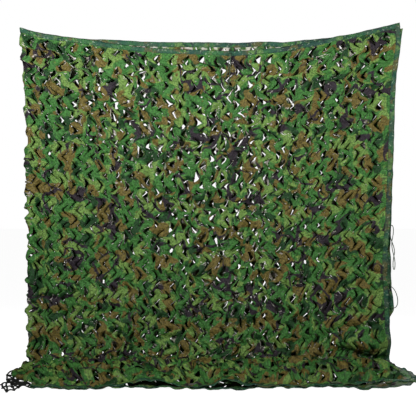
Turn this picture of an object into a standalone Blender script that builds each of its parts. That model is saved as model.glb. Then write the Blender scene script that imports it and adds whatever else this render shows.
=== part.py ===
"""Camouflage net of slit cloth, folded once down its left side and hung by its top corners.

Metres, +Z up. The origin is the middle of the top edge, where the net is held. The front layer faces -Y.
The net hangs straight to the floor and its foot lies forward on it. A point on a layer has two places:
`x`, across, and `drop`, the way down the hanging cloth and then forward along the floor.
"""

from bisect import bisect_right
from math import cos, exp, pi, sin

import bmesh
import bpy
from mathutils import Vector

# Sizes
FLOOR_Z = -1.780
NET_W = 2.07
CLOTH_T = 0.0015
TAPE_T = 0.0010
BAND_W = 0.026
TOUCH_GAP = 0.0003
STRAND_W = 0.008
STRAND_T = 0.005
TIE_D = 0.0045
BAND_HALF_T = CLOTH_T / 2 + TOUCH_GAP + TAPE_T

# The lower layer lies on the floor high enough for a mesh strand to pass under its binding.
REST_HEIGHT = STRAND_T + TOUCH_GAP + BAND_HALF_T
BEND_R = 0.055
BEND_DROP = -FLOOR_Z - REST_HEIGHT - BEND_R
FOOT_DROP = BEND_DROP + BEND_R * pi / 2

# Grid of the cloth. A leaf cut is two rows high, and the cuts of one row are two columns apart.
BODY_COLUMNS = 26
FOLD_STEPS = 3
CUT_ROWS = 22
PLAIN_ROWS = 7
BEND_ROWS = 2
FOOT_ROWS = 6
# The foot lies flat this far in from its front binding.
FLAT_EDGE = 0.014
CUT_SHARE = 0.66
FIRST_CUT_COLUMN = 2
LAST_CUT_COLUMN = 24
CHEVRON_DEPTH = 0.040
# Share of a chevron's depth by which its two ends shift one way; its middle shifts the rest the other way.
CHEVRON_END_SHARE = 0.4
CUT_OPEN_LEAST = 0.018
CUT_OPEN_MORE = 0.024
# The cuts are widest open round this place.
OPEN_MIDDLE = {"x": -0.05, "z": -0.55, "half_width": 0.67, "half_height": 0.59}
FLAP_LIFT = 0.0055

# Height of each layer's top edge over the origin.
TOP_EDGE = {
    "x": (-1.034, -0.93, -0.70, -0.53, -0.34, -0.19, 0.0, 0.15, 0.30, 0.40, 0.50, 0.62, 0.70, 0.77, 0.87, 0.985,
          1.06),
    "back": (0.080, 0.053, 0.020, 0.014, 0.004, 0.001, 0.0, -0.003, 0.004, 0.000, 0.010, 0.021, 0.030, 0.036, 0.048,
             0.064, 0.080),
    "front": (0.080, 0.047, 0.014, -0.012, -0.031, -0.040, -0.048, -0.053, -0.042, -0.032, -0.014, 0.009, 0.030,
              0.040, 0.063, 0.088, 0.106),
}
# Where the fold on the left and each layer's bound edge on the right stand, by drop.
SIDES = {
    "drop": (-0.11, 0.0, 0.2, 0.5, 0.8, 0.98, 1.12, 1.20, 1.34, 1.47, 1.53, 1.77, 1.84, 1.90, 1.96, 2.03, 2.10, 2.15,
             2.22, 2.33),
    "fold": (-1.037, -1.025, -1.018, -0.993, -0.988, -0.985, -0.983, -0.985, -0.990, -0.991, -0.991, -0.990, -0.986,
             -0.986, -1.002, -1.014, -0.990, -0.955, -0.892, -0.860),
    "front": (1.046, 1.054, 1.028, 1.012, 1.002, 0.994, 0.984, 0.979, 0.984, 0.992, 0.994, 0.996, 1.002, 1.010, 1.024,
              1.040, 1.048, 1.046, 1.032, 0.985),
    "back": (1.076, 1.058, 1.034, 1.020, 1.010, 1.005, 0.999, 1.003, 1.008, 1.020, 0.992, 0.996, 1.003, 1.010, 1.024,
             1.040, 1.048, 1.042, 1.015, 0.940),
}
# How far each layer's foot reaches forward along the floor.
FOOT_REACH = {
    "x": (-1.0, -0.80, -0.50, -0.35, -0.10, 0.10, 0.30, 0.40, 0.60, 0.68, 0.74, 0.83, 0.93, 1.0),
    "front": (0.535, 0.540, 0.505, 0.510, 0.548, 0.532, 0.496, 0.525, 0.490, 0.480, 0.445, 0.430, 0.430, 0.420),
    "back": (0.535, 0.545, 0.512, 0.518, 0.556, 0.540, 0.504, 0.532, 0.498, 0.510, 0.528, 0.540, 0.505, 0.470),
}
# Ridges of the foot: how far forward, how high, how wide, and how each sways and swells across the net.
FOOT_RIDGES = (
    {"at": 0.10, "height": 0.036, "width": 0.050, "sway": 0.018, "sway_length": 0.90, "phase": 0.4},
    {"at": 0.25, "height": 0.046, "width": 0.055, "sway": 0.030, "sway_length": 0.66, "phase": 2.1},
    {"at": 0.39, "height": 0.030, "width": 0.048, "sway": 0.022, "sway_length": 0.54, "phase": 4.0},
)
RIGHT_CORNER_FLATTER = 0.85
# Main hollows and swells of the hanging cloth: where, how wide and high, and how far back (+) or out (-).
HANG_FOLDS = (
    {"x": -0.90, "drop": 1.45, "half_width": 0.060, "half_height": 0.34, "depth": 0.032},
    {"x": -0.72, "drop": 1.36, "half_width": 0.140, "half_height": 0.060, "depth": -0.014},
    {"x": -0.74, "drop": 1.50, "half_width": 0.140, "half_height": 0.055, "depth": 0.014},
    {"x": 0.88, "drop": 1.64, "half_width": 0.110, "half_height": 0.060, "depth": -0.034},
    {"x": 0.84, "drop": 1.74, "half_width": 0.140, "half_height": 0.036, "depth": 0.024},
    {"x": 0.20, "drop": 1.62, "half_width": 0.300, "half_height": 0.080, "depth": -0.012},
    {"x": -0.35, "drop": 0.25, "half_width": 0.120, "half_height": 0.300, "depth": 0.012},
    {"x": 0.55, "drop": 0.30, "half_width": 0.140, "half_height": 0.320, "depth": -0.012},
)
# Slow waves of the hanging cloth: how deep, how long across, how they drift on the way down, and their phase.
HANG_WAVES = (
    {"depth": 0.010, "length": 0.66, "drift": 1.5, "phase": 0.6},
    {"depth": 0.005, "length": 0.34, "drift": -2.2, "phase": 0.0},
)
LAYER_GAP = 0.022
LAYER_GAP_WAVE = 0.005
FOOT_GAP = 0.013
EDGE_GAP = 0.006
# Where the front layer's foot edge stands up off the back layer.
FOOT_ARCHES = (
    {"x": -0.28, "half_width": 0.100, "height": 0.030},
    {"x": 0.10, "half_width": 0.085, "height": 0.036},
)
# The fold is not bound, and the leaf cuts that cross it leave it in small teeth.
FOLD_TOOTH = 0.009

# Tie cords: points on each route, as x, the way out in front of the band's face, and height over the origin.
TIE_TOP = (
    (0.124, 0.0020, -0.0620), (0.124, 0.0100, -0.0625), (0.1238, 0.0165, -0.0690), (0.1232, 0.0180, -0.0850),
    (0.1222, 0.0170, -0.1120), (0.1205, 0.0165, -0.1400), (0.1190, 0.0170, -0.1700), (0.1172, 0.0180, -0.2000),
    (0.1140, 0.0190, -0.2280), (0.1060, 0.0195, -0.2480), (0.0950, 0.0195, -0.2560), (0.0845, 0.0195, -0.2490),
    (0.0840, 0.0200, -0.2340), (0.0920, 0.0210, -0.2120), (0.1020, 0.0215, -0.1850), (0.1090, 0.0215, -0.1560),
    (0.1125, 0.0210, -0.1250), (0.1145, 0.0205, -0.0950), (0.1150, 0.0180, -0.0730), (0.1152, 0.0105, -0.0655),
    (0.1152, 0.0020, -0.0650),
)
TIE_SIDE = (
    (0.9930, 0.0020, -1.0040), (0.9945, 0.0105, -1.0038), (1.0010, 0.0165, -1.0035), (1.0085, 0.0180, -1.0075),
    (1.0125, 0.0185, -1.0220), (1.0118, 0.0195, -1.0470), (1.0078, 0.0205, -1.0730), (1.0035, 0.0215, -1.0960),
    (1.0042, 0.0212, -1.1200), (1.0085, 0.0208, -1.1460), (1.0165, 0.0205, -1.1780), (1.0212, 0.0200, -1.2080),
    (1.0205, 0.0195, -1.2350), (1.0165, 0.0190, -1.2480), (1.0118, 0.0185, -1.2360), (1.0112, 0.0172, -1.2110),
    (1.0152, 0.0150, -1.1790), (1.0200, 0.0148, -1.1530), (1.0160, 0.0148, -1.1240), (1.0062, 0.0148, -1.0960),
    (0.9995, 0.0142, -1.0740), (0.9965, 0.0142, -1.0500), (0.9940, 0.0135, -1.0340), (0.9900, 0.0095, -1.0262),
    (0.9885, 0.0020, -1.0260),
)
TIE_CORNER = (
    (1.0000, 0.0020, -1.3370), (1.0010, 0.0105, -1.3378), (1.0065, 0.0165, -1.3425), (1.0165, 0.0180, -1.3530),
    (1.0270, 0.0185, -1.3700), (1.0350, 0.0185, -1.3930), (1.0385, 0.0185, -1.4170), (1.0360, 0.0185, -1.4390),
    (1.0280, 0.0180, -1.4530), (1.0160, 0.0165, -1.4580), (1.0075, 0.0105, -1.4580), (1.0070, 0.0020, -1.4580),
)
TIE_POINT_STEP = 3.0
TIE_END_GAP = 0.0007

# Knots of the mesh backing that shows past the front left corner: x and the way forward from the hanging cloth.
MESH_KNOTS = {
    "side_a": (-1.022, 0.090), "side_b": (-1.038, 0.150), "side_c": (-1.043, 0.255), "side_d": (-1.017, 0.360),
    "side_e": (-0.992, 0.440), "loop_a": (-1.014, 0.490), "loop_b": (-0.988, 0.566), "loop_c": (-0.949, 0.644),
    "loop_d": (-0.922, 0.613), "loop_e": (-0.912, 0.560), "loop_f": (-0.878, 0.525), "mid_a": (-0.974, 0.542),
    "mid_b": (-0.945, 0.547), "mid_c": (-0.965, 0.485), "under_a": (-0.985, 0.100), "under_b": (-0.996, 0.175),
    "under_c": (-1.000, 0.280), "under_d": (-0.980, 0.374), "under_e": (-0.940, 0.430), "under_f": (-0.922, 0.490),
    "under_g": (-0.880, 0.465), "under_h": (-0.838, 0.562),
}
MESH_CELLS = (
    ("side_a", "side_b", "under_b", "under_a"),
    ("side_b", "side_c", "under_c", "under_b"),
    ("side_c", "side_d", "under_d", "under_c"),
    ("side_d", "side_e", "mid_c", "under_d"),
    ("side_e", "loop_a", "loop_b", "mid_a"),
    ("side_e", "mid_a", "mid_b", "mid_c"),
    ("mid_a", "loop_b", "loop_c"),
    ("mid_a", "loop_c", "loop_d", "mid_b"),
    ("mid_b", "loop_d", "loop_e"),
    ("mid_c", "mid_b", "loop_e"),
    ("under_d", "mid_c", "under_f", "under_e"),
    ("mid_c", "loop_e", "under_f"),
    ("under_f", "loop_e", "loop_f", "under_g"),
    ("under_e", "under_f", "under_g"),
    ("loop_f", "under_h", "under_g"),
)


def clear_scene():
    for thing in list(bpy.data.objects):
        bpy.data.objects.remove(thing, do_unlink=True)


def blend(value, start, end):
    """Smooth step from 0 at start to 1 at end."""
    t = min(max((value - start) / (end - start), 0.0), 1.0)
    return t * t * (3 - 2 * t)


def along(table, key, column, value):
    """A smooth curve through one column of a table, read at a value of its key column."""
    xs, ys = table[key], table[column]
    last = len(xs) - 1
    value = min(max(value, xs[0]), xs[last])
    i = min(max(bisect_right(xs, value) - 1, 0), last - 1)
    step = xs[i + 1] - xs[i]
    t = (value - xs[i]) / step

    def slope(k):
        a, b = max(k - 1, 0), min(k + 1, last)
        return (ys[b] - ys[a]) / (xs[b] - xs[a])

    return (
        (2 * t**3 - 3 * t**2 + 1) * ys[i]
        + (t**3 - 2 * t**2 + t) * step * slope(i)
        + (3 * t**2 - 2 * t**3) * ys[i + 1]
        + (t**3 - t**2) * step * slope(i + 1)
    )


# The draped shape


def hang_depth(x, drop):
    """How far back from the hanging plane the back layer's middle surface lies."""
    slack = blend(drop, 0.0, 0.7)
    depth = 0.0
    for wave in HANG_WAVES:
        depth += slack * wave["depth"] * sin(2 * pi * x / wave["length"] + wave["drift"] * drop + wave["phase"])
    for fold in HANG_FOLDS:
        across = (x - fold["x"]) / fold["half_width"]
        down = (drop - fold["drop"]) / fold["half_height"]
        depth += fold["depth"] * exp(-(across**2) - down**2)
    return depth


def foot_rise(x, forward):
    """Height of the ridges in the cloth that lies on the floor; its front edge and both corners lie flat."""
    reach = along(FOOT_REACH, "x", "front", x)
    left_corner = max(blend(x, -0.88, -0.72), 1 - blend(forward, 0.05, 0.14))
    right_corner = 1 - RIGHT_CORNER_FLATTER * blend(x, 0.88, 1.0)
    envelope = blend(forward, 0.0, 0.05) * (1 - blend(forward, reach - 0.12, reach - BAND_W - FLAT_EDGE))
    envelope *= left_corner * right_corner
    rise = 0.0
    for ridge in FOOT_RIDGES:
        turn = 2 * pi * x / ridge["sway_length"] + ridge["phase"]
        middle = ridge["at"] + ridge["sway"] * sin(turn)
        swell = 0.66 + 0.34 * sin(1.7 * turn + 1.0)
        rise += ridge["height"] * swell * exp(-(((forward - middle) / ridge["width"]) ** 2))
    return rise * envelope


def base_point(x, drop):
    """A point of the back layer's middle surface."""
    if drop <= BEND_DROP:
        return Vector((x, hang_depth(x, drop), -drop))
    start = hang_depth(x, BEND_DROP)
    if drop <= FOOT_DROP:
        angle = (drop - BEND_DROP) / BEND_R
        return Vector((x, start - BEND_R * (1 - cos(angle)), -BEND_DROP - BEND_R * sin(angle)))
    forward = drop - FOOT_DROP
    return Vector((x, start - BEND_R - forward, FLOOR_Z + REST_HEIGHT + foot_rise(x, forward)))


def base_normal(x, drop):
    """The side of the base surface that faces the viewer, and up where the cloth lies on the floor."""
    step = 0.01
    across = base_point(x + step, drop) - base_point(x - step, drop)
    down = base_point(x, drop + step) - base_point(x, drop - step)
    return down.cross(across).normalized()


def layer_gap(x, drop):
    """Distance from the back layer to the front layer."""
    hanging = LAYER_GAP + LAYER_GAP_WAVE * sin(2 * pi * x / 0.9 + 2.6 * drop)
    gap = hanging + (FOOT_GAP - hanging) * blend(drop, BEND_DROP - 0.25, FOOT_DROP)
    forward = drop - FOOT_DROP
    if forward < 0:
        return gap
    # The two foot edges lie close, but not round the fold on the left.
    reach = along(FOOT_REACH, "x", "front", x)
    gap += (EDGE_GAP - gap) * blend(forward, reach - 0.12, reach - BAND_W) * blend(x, -0.95, -0.80)
    for arch in FOOT_ARCHES:
        lift = arch["height"] * blend(forward, reach - 0.22, reach - 0.04)
        gap += lift * exp(-(((x - arch["x"]) / arch["half_width"]) ** 2))
    return gap


def layer_point(layer, x, drop):
    point = base_point(x, drop)
    if layer == "front":
        point = point + base_normal(x, drop) * layer_gap(x, drop)
    return point


# The cloth's grid


def row_drops(top_drop, shared_end, end_drop):
    """Drops of the grid's rows for one column: binding, leaf cuts, plain cloth, floor bend, foot, binding.

    The foot's inner rows end at shared_end on both layers, so that the layers fold alike there.
    """
    start = top_drop + BAND_W
    cut_end = start + CUT_SHARE * (BEND_DROP - start)
    foot_end = shared_end - BAND_W - FLAT_EDGE
    drops = [top_drop]
    drops += [start + (cut_end - start) * k / CUT_ROWS for k in range(CUT_ROWS)]
    drops += [cut_end + (BEND_DROP - cut_end) * k / PLAIN_ROWS for k in range(PLAIN_ROWS)]
    drops += [BEND_DROP + (FOOT_DROP - BEND_DROP) * k / BEND_ROWS for k in range(BEND_ROWS)]
    drops += [FOOT_DROP + (foot_end - FOOT_DROP) * k / FOOT_ROWS for k in range(FOOT_ROWS)]
    return drops + [foot_end, end_drop - BAND_W, end_drop]


def cut_here(column, row):
    """+1 or -1 for the way a leaf cut points, where this grid point is the middle of one, or 0."""
    inner = row - 1
    if not 0 < inner < CUT_ROWS or inner % 2 == 0:
        return 0
    band = inner // 2
    if not FIRST_CUT_COLUMN <= column <= LAST_CUT_COLUMN or (column + band) % 2:
        return 0
    return 1 if band % 2 else -1


def cut_end_shift(column, row):
    """Sideways shift of a grid point that ends a leaf cut above or below it."""
    for middle in (row - 1, row + 1):
        way = cut_here(column, middle)
        if way:
            return -way * CHEVRON_DEPTH * CHEVRON_END_SHARE
    return 0.0


def layer_columns(layer):
    """One layer's grid, a list of rows for each column from the fold to the bound edge, as (x, drop)."""
    columns = []
    for k in range(BODY_COLUMNS + 2):
        column = []
        guess = along(SIDES, "drop", "fold", 0.0) + k / (BODY_COLUMNS + 1) * NET_W
        top_drop = -along(TOP_EDGE, "x", layer, guess)
        shared_end, end_drop = (FOOT_DROP + along(FOOT_REACH, "x", side, guess) for side in ("front", layer))
        for row, drop in enumerate(row_drops(top_drop, shared_end, end_drop)):
            left = along(SIDES, "drop", "fold", drop) + LAYER_GAP / 2
            right = along(SIDES, "drop", layer, drop)
            inner = left + (right - BAND_W - left) * min(k, BODY_COLUMNS) / BODY_COLUMNS
            x = right if k > BODY_COLUMNS else inner
            column.append((x + cut_end_shift(k, row), drop))
        columns.append(column)
    return columns


def cloth_grid():
    """Middle surface points by row and column: front layer from its bound edge, the fold, the back layer."""
    front, back = layer_columns("front"), layer_columns("back")
    grid = []
    for row in range(len(front[0])):
        line = [layer_point("front", *column[row]) for column in reversed(front)]
        behind = [layer_point("back", *column[row]) for column in back]
        middle, half = (line[-1] + behind[0]) / 2, (line[-1] - behind[0]) / 2
        bound = row < 2 or row > len(front[0]) - 3
        bulge = half.length + (0 if bound else FOLD_TOOTH * (row % 2))
        for step in range(1, FOLD_STEPS):
            angle = pi * step / FOLD_STEPS
            line.append(middle + half * cos(angle) + Vector((-bulge * sin(angle), 0, 0)))
        grid.append(line + behind)
    return grid


def grid_normals(grid):
    """Normals of the grid, towards the outside of the folded net."""
    rows, columns = len(grid), len(grid[0])
    normals = []
    for r in range(rows):
        line = []
        for c in range(columns):
            down = grid[min(r + 1, rows - 1)][c] - grid[max(r - 1, 0)][c]
            across = grid[r][min(c + 1, columns - 1)] - grid[r][max(c - 1, 0)]
            line.append(across.cross(down).normalized())
        normals.append(line)
    return normals


def fold_column(layer_column, column_count):
    """Grid column and layer column of the same place, for the front and the back layer."""
    front = BODY_COLUMNS + 1 - layer_column
    back = column_count - (BODY_COLUMNS + 2) + layer_column
    return front, back


# Making objects


def material(name, colour, roughness):
    made = bpy.data.materials.new(name)
    made.use_nodes = True
    shader = made.node_tree.nodes["Principled BSDF"]
    shader.inputs["Base Color"].default_value = (*colour, 1)
    shader.inputs["Roughness"].default_value = roughness
    shader.inputs["Metallic"].default_value = 0.0
    return made


def place(name, data, finish):
    thing = bpy.data.objects.new(name, data)
    thing.data.materials.append(finish)
    bpy.context.scene.collection.objects.link(thing)
    return thing


def solid_mesh(name, points, faces, finish):
    """A closed mesh object with its faces turned outwards."""
    mesh = bpy.data.meshes.new(name)
    mesh.from_pydata([tuple(p) for p in points], [], faces)
    bm = bmesh.new()
    bm.from_mesh(mesh)
    bmesh.ops.recalc_face_normals(bm, faces=bm.faces)
    bm.to_mesh(mesh)
    bm.free()
    return place(name, mesh, finish)


def split_quad(corners, first_diagonal):
    a, b, c, d = corners
    return [(a, b, c), (a, c, d)] if first_diagonal else [(b, c, d), (b, d, a)]


def make_cloth(grid, normals, finish):
    """The slit cloth: a triangle mesh of the middle surface, opened at each leaf cut, then thickened."""
    rows, columns = len(grid), len(grid[0])
    points = [p for line in grid for p in line]
    right_lip = {}
    cuts = 0
    for r in range(rows):
        for layer_column in range(BODY_COLUMNS + 2):
            way = cut_here(layer_column, r)
            if not way:
                continue
            for c in fold_column(layer_column, columns):
                middle, normal = grid[r][c], normals[r][c]
                across = (grid[r][c + 1] - grid[r][c - 1]).normalized()
                towards = 1 if across.x > 0 else -1
                aside = (middle.x - OPEN_MIDDLE["x"]) / OPEN_MIDDLE["half_width"]
                above = (middle.z - OPEN_MIDDLE["z"]) / OPEN_MIDDLE["half_height"]
                near = exp(-(aside**2) - above**2)
                half = (CUT_OPEN_LEAST + CUT_OPEN_MORE * near) / 2
                centre = middle + across * (towards * way * CHEVRON_DEPTH * (1 - CHEVRON_END_SHARE))
                points[r * columns + c] = centre - across * half + normal * FLAP_LIFT
                right_lip[(r, c)] = len(points)
                points.append(centre + across * half - normal * FLAP_LIFT)
                cuts += 1
    faces = []
    for r in range(rows - 1):
        for c in range(columns - 1):
            # A cell to the right of a cut takes the cut's second lip.
            a = right_lip.get((r, c), r * columns + c)
            b = right_lip.get((r + 1, c), (r + 1) * columns + c)
            faces += split_quad((a, b, (r + 1) * columns + c + 1, r * columns + c + 1), True)
    mesh = bpy.data.meshes.new("net_cloth")
    mesh.from_pydata([tuple(p) for p in points], [], faces)
    cloth = place("net_cloth", mesh, finish)
    thicken = cloth.modifiers.new("thickness", "SOLIDIFY")
    thicken.thickness = CLOTH_T
    thicken.offset = 0.0
    print("leaf cuts:", cuts)
    return cloth


def make_binding(name, edge, inner, finish, edge_first):
    """A tape folded over a cloth edge. edge and inner are lists of (point, normal) along its two rails."""
    slot = CLOTH_T / 2 + TOUCH_GAP
    points = []
    for (e, en), (q, qn) in zip(edge, inner, strict=True):
        out = (e - q).normalized()
        floor, wall = e + out * TOUCH_GAP, e + out * (TOUCH_GAP + TAPE_T)
        points += [q + qn * BAND_HALF_T, wall + en * BAND_HALF_T, wall - en * BAND_HALF_T, q - qn * BAND_HALF_T]
        points += [q - qn * slot, floor - en * slot, floor + en * slot, q + qn * slot]
    corners = 8
    on_edge_rail = {1, 2, 5, 6}
    faces = []
    for station in range(len(edge) - 1):
        for k in range(corners):
            n = (k + 1) % corners
            here, there = station * corners, (station + 1) * corners
            quad = (here + k, here + n, there + n, there + k)
            # The diagonal joins the same two grid points as the cloth's does inside the tape.
            faces += split_quad(quad, (k in on_edge_rail) == edge_first)
    last = (len(edge) - 1) * corners
    for start in (0, last):
        for cap in ((0, 1, 6, 7), (1, 2, 5, 6), (2, 3, 4, 5)):
            faces += split_quad([start + k for k in cap], True)
    return solid_mesh(name, points, faces, finish)


def make_bindings(grid, normals, finish):
    def rail(cells):
        return [(grid[r][c], normals[r][c]) for r, c in cells]

    def clear_of_ends(stations):
        """A side tape stops a touching gap short of the tapes above and below it."""
        trimmed = list(stations)
        for end, inward in ((0, 1), (-1, -2)):
            (p, n), (p_in, _) = stations[end], stations[inward]
            trimmed[end] = (p + (p_in - p).normalized() * 2 * TOUCH_GAP, n)
        return trimmed

    rows, columns = len(grid), len(grid[0])
    across = range(columns)
    down = range(1, rows - 1)
    make_binding("binding_top", rail([(0, c) for c in across]), rail([(1, c) for c in across]), finish, True)
    make_binding(
        "binding_foot", rail([(rows - 1, c) for c in across]), rail([(rows - 2, c) for c in across]), finish, False
    )
    for name, edge, inner, edge_first in (
        ("binding_side_front", 0, 1, True),
        ("binding_side_back", columns - 1, columns - 2, False),
    ):
        rails = [clear_of_ends(rail([(r, c) for r in down])) for c in (edge, inner)]
        make_binding(name, rails[0], rails[1], finish, edge_first)


def smooth_route(points, step):
    """Evenly spaced points on a smooth curve through the route's own points."""
    ends = [points[0] * 2 - points[1], *points, points[-1] * 2 - points[-2]]
    fine = []
    for k in range(1, len(ends) - 2):
        a, b, c, d = ends[k - 1 : k + 3]
        for i in range(12):
            t = i / 12
            fine.append(
                0.5 * (2 * b + (c - a) * t + (2 * a - 5 * b + 4 * c - d) * t**2 + (3 * b - a - 3 * c + d) * t**3)
            )
    fine.append(points[-1])
    travelled = [0.0]
    for p, q in zip(fine, fine[1:]):
        travelled.append(travelled[-1] + (q - p).length)
    count = max(round(travelled[-1] / step), 4)
    spaced = []
    for k in range(count + 1):
        want = travelled[-1] * k / count
        i = min(max(bisect_right(travelled, want) - 1, 0), len(fine) - 2)
        span = max(travelled[i + 1] - travelled[i], 1e-9)
        spaced.append(fine[i].lerp(fine[i + 1], (want - travelled[i]) / span))
    return spaced, travelled[-1]


def face_of_layer(layer, x, height):
    """Y of the binding's front face at a place on a hanging layer."""
    return layer_point(layer, x, -height).y - BAND_HALF_T


def make_tie(name, route, layer, finish):
    """A tie cord sewn into a band at both ends, hanging in a loop in front of it."""
    first, last = route[0], route[-1]
    start_y, end_y = face_of_layer(layer, first[0], first[2]), face_of_layer(layer, last[0], last[2])
    points = []
    for k, (x, out, height) in enumerate(route):
        share = k / (len(route) - 1)
        face_y = start_y + (end_y - start_y) * share
        sewn = TIE_END_GAP if k in (0, len(route) - 1) else out
        points.append(Vector((x, face_y - sewn, height)))
    spaced, length = smooth_route(points, TIE_POINT_STEP * TIE_D)
    curve = bpy.data.curves.new(name, "CURVE")
    curve.dimensions = "3D"
    curve.bevel_depth = TIE_D / 2
    curve.bevel_resolution = 2
    curve.use_fill_caps = True
    spline = curve.splines.new("POLY")
    spline.points.add(len(spaced) - 1)
    for target, p in zip(spline.points, spaced):
        target.co = (*p, 1)
    print(name, "length", round(length, 4), "points", len(spaced))
    return place(name, curve, finish)


def make_mesh_corner(finish):
    """The knotted mesh behind the cloth, where its corner lies bare on the floor: flat strands round each cell."""
    bm = bmesh.new()
    knots = {name: bm.verts.new((x, -forward, FLOOR_Z + STRAND_T / 2)) for name, (x, forward) in MESH_KNOTS.items()}
    for cell in MESH_CELLS:
        bm.faces.new([knots[name] for name in cell])
    bm.normal_update()
    bmesh.ops.inset_individual(bm, faces=bm.faces[:], thickness=STRAND_W / 2, use_even_offset=True)
    bm.faces.ensure_lookup_table()
    bmesh.ops.delete(bm, geom=bm.faces[: len(MESH_CELLS)], context="FACES_ONLY")
    bmesh.ops.recalc_face_normals(bm, faces=bm.faces)
    mesh = bpy.data.meshes.new("mesh_corner")
    bm.to_mesh(mesh)
    bm.free()
    corner = place("mesh_corner", mesh, finish)
    thicken = corner.modifiers.new("thickness", "SOLIDIFY")
    thicken.thickness = STRAND_T
    thicken.offset = 0.0
    return corner


def main():
    clear_scene()
    printed_cloth = material("printed_cloth", (0.055, 0.135, 0.045), 0.85)
    bound_tape = material("bound_tape", (0.035, 0.105, 0.065), 0.75)
    tie_cord = material("tie_cord", (0.030, 0.085, 0.045), 0.70)
    black_twine = material("black_twine", (0.010, 0.011, 0.010), 0.80)
    grid = cloth_grid()
    normals = grid_normals(grid)
    make_cloth(grid, normals, printed_cloth)
    make_bindings(grid, normals, bound_tape)
    make_tie("tie_top", TIE_TOP, "front", tie_cord)
    make_tie("tie_side", TIE_SIDE, "back", tie_cord)
    make_tie("tie_corner", TIE_CORNER, "back", tie_cord)
    make_mesh_corner(black_twine)


main()
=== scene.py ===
# %% [markdown]
# # A camouflage net, folded double and hung by its top corners
#
# The real net is one wide printed cloth. A machine cuts rows of leaf-shaped slits into it and the cloth is
# then pulled sideways, so that every slit opens and every leaf twists out of the plane. A folded tape is
# sewn round the edge, thin ties are sewn to the tape, and a black knotted mesh lies behind the cloth.
#
# This lesson builds it in that order: the drape, the cloth with its slits, the tapes, the ties and the
# mesh.

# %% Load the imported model, which fixes where everything is
from math import pi, sin

import bpy
import numpy as np
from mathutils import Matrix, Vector


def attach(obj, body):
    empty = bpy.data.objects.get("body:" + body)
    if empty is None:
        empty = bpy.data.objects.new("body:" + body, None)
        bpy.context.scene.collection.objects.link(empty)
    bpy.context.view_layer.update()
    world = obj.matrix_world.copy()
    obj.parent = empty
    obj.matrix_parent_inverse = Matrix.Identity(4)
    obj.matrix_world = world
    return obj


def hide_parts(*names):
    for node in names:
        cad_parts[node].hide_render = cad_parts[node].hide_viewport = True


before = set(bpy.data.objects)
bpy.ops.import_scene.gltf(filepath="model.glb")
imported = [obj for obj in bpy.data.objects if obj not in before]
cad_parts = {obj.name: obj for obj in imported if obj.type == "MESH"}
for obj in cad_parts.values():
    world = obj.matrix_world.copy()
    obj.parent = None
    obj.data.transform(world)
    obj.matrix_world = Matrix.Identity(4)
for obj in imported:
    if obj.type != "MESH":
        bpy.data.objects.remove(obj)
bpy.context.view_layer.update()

# %% [markdown]
# ## The camera
#
# The net was photographed level, from a little under half its height. One pixel of the 416-pixel frame is
# 5.5 mm at the hanging cloth, and the camera stands 4.5 m in front of it. The width of the sensor then
# gives the lens.

# %% Camera
FLOOR_Z = -1.780
CAMERA_HEIGHT = 0.870
CAMERA_DISTANCE = 4.50
FRAME_PIXELS = 416
METRES_PER_PIXEL = 0.0055
SENSOR_MM = 36.0

camera_data = bpy.data.cameras.new("view")
camera_data.sensor_width = SENSOR_MM
camera_data.lens = SENSOR_MM * CAMERA_DISTANCE / (FRAME_PIXELS * METRES_PER_PIXEL)
camera = bpy.data.objects.new("view", camera_data)
camera.location = (0, -CAMERA_DISTANCE, FLOOR_Z + CAMERA_HEIGHT)
camera.rotation_euler = (pi / 2, 0, 0)
bpy.context.scene.collection.objects.link(camera)
bpy.context.scene.camera = camera
bpy.context.scene.view_settings.view_transform = "Standard"
print("lens:", round(camera_data.lens, 1), "mm")

# %% [markdown]
# ## The drape
#
# The cloth sags between its two top corners, hangs to the floor, turns over a soft bend and lies forward in
# low ridges. All of that is one function of two numbers: `x`, across, and `drop`, the way down the hanging
# cloth and then forward along the floor. The sizes are those of the solid model, so that the fine cloth
# lies on its folds.

# %% Sizes of the drape
NET_W = 2.07
CLOTH_T = 0.0015
TAPE_T = 0.0010
BAND_W = 0.026
TOUCH_GAP = 0.0003
STRAND_T = 0.005
TIE_D = 0.0045
BAND_HALF_T = CLOTH_T / 2 + TOUCH_GAP + TAPE_T
REST_HEIGHT = STRAND_T + TOUCH_GAP + BAND_HALF_T
BEND_R = 0.055
BEND_DROP = -FLOOR_Z - REST_HEIGHT - BEND_R
FOOT_DROP = BEND_DROP + BEND_R * pi / 2
LAYER_GAP = 0.022
LAYER_GAP_WAVE = 0.005
FOOT_GAP = 0.013
EDGE_GAP = 0.006
FLAT_EDGE = 0.014

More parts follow.
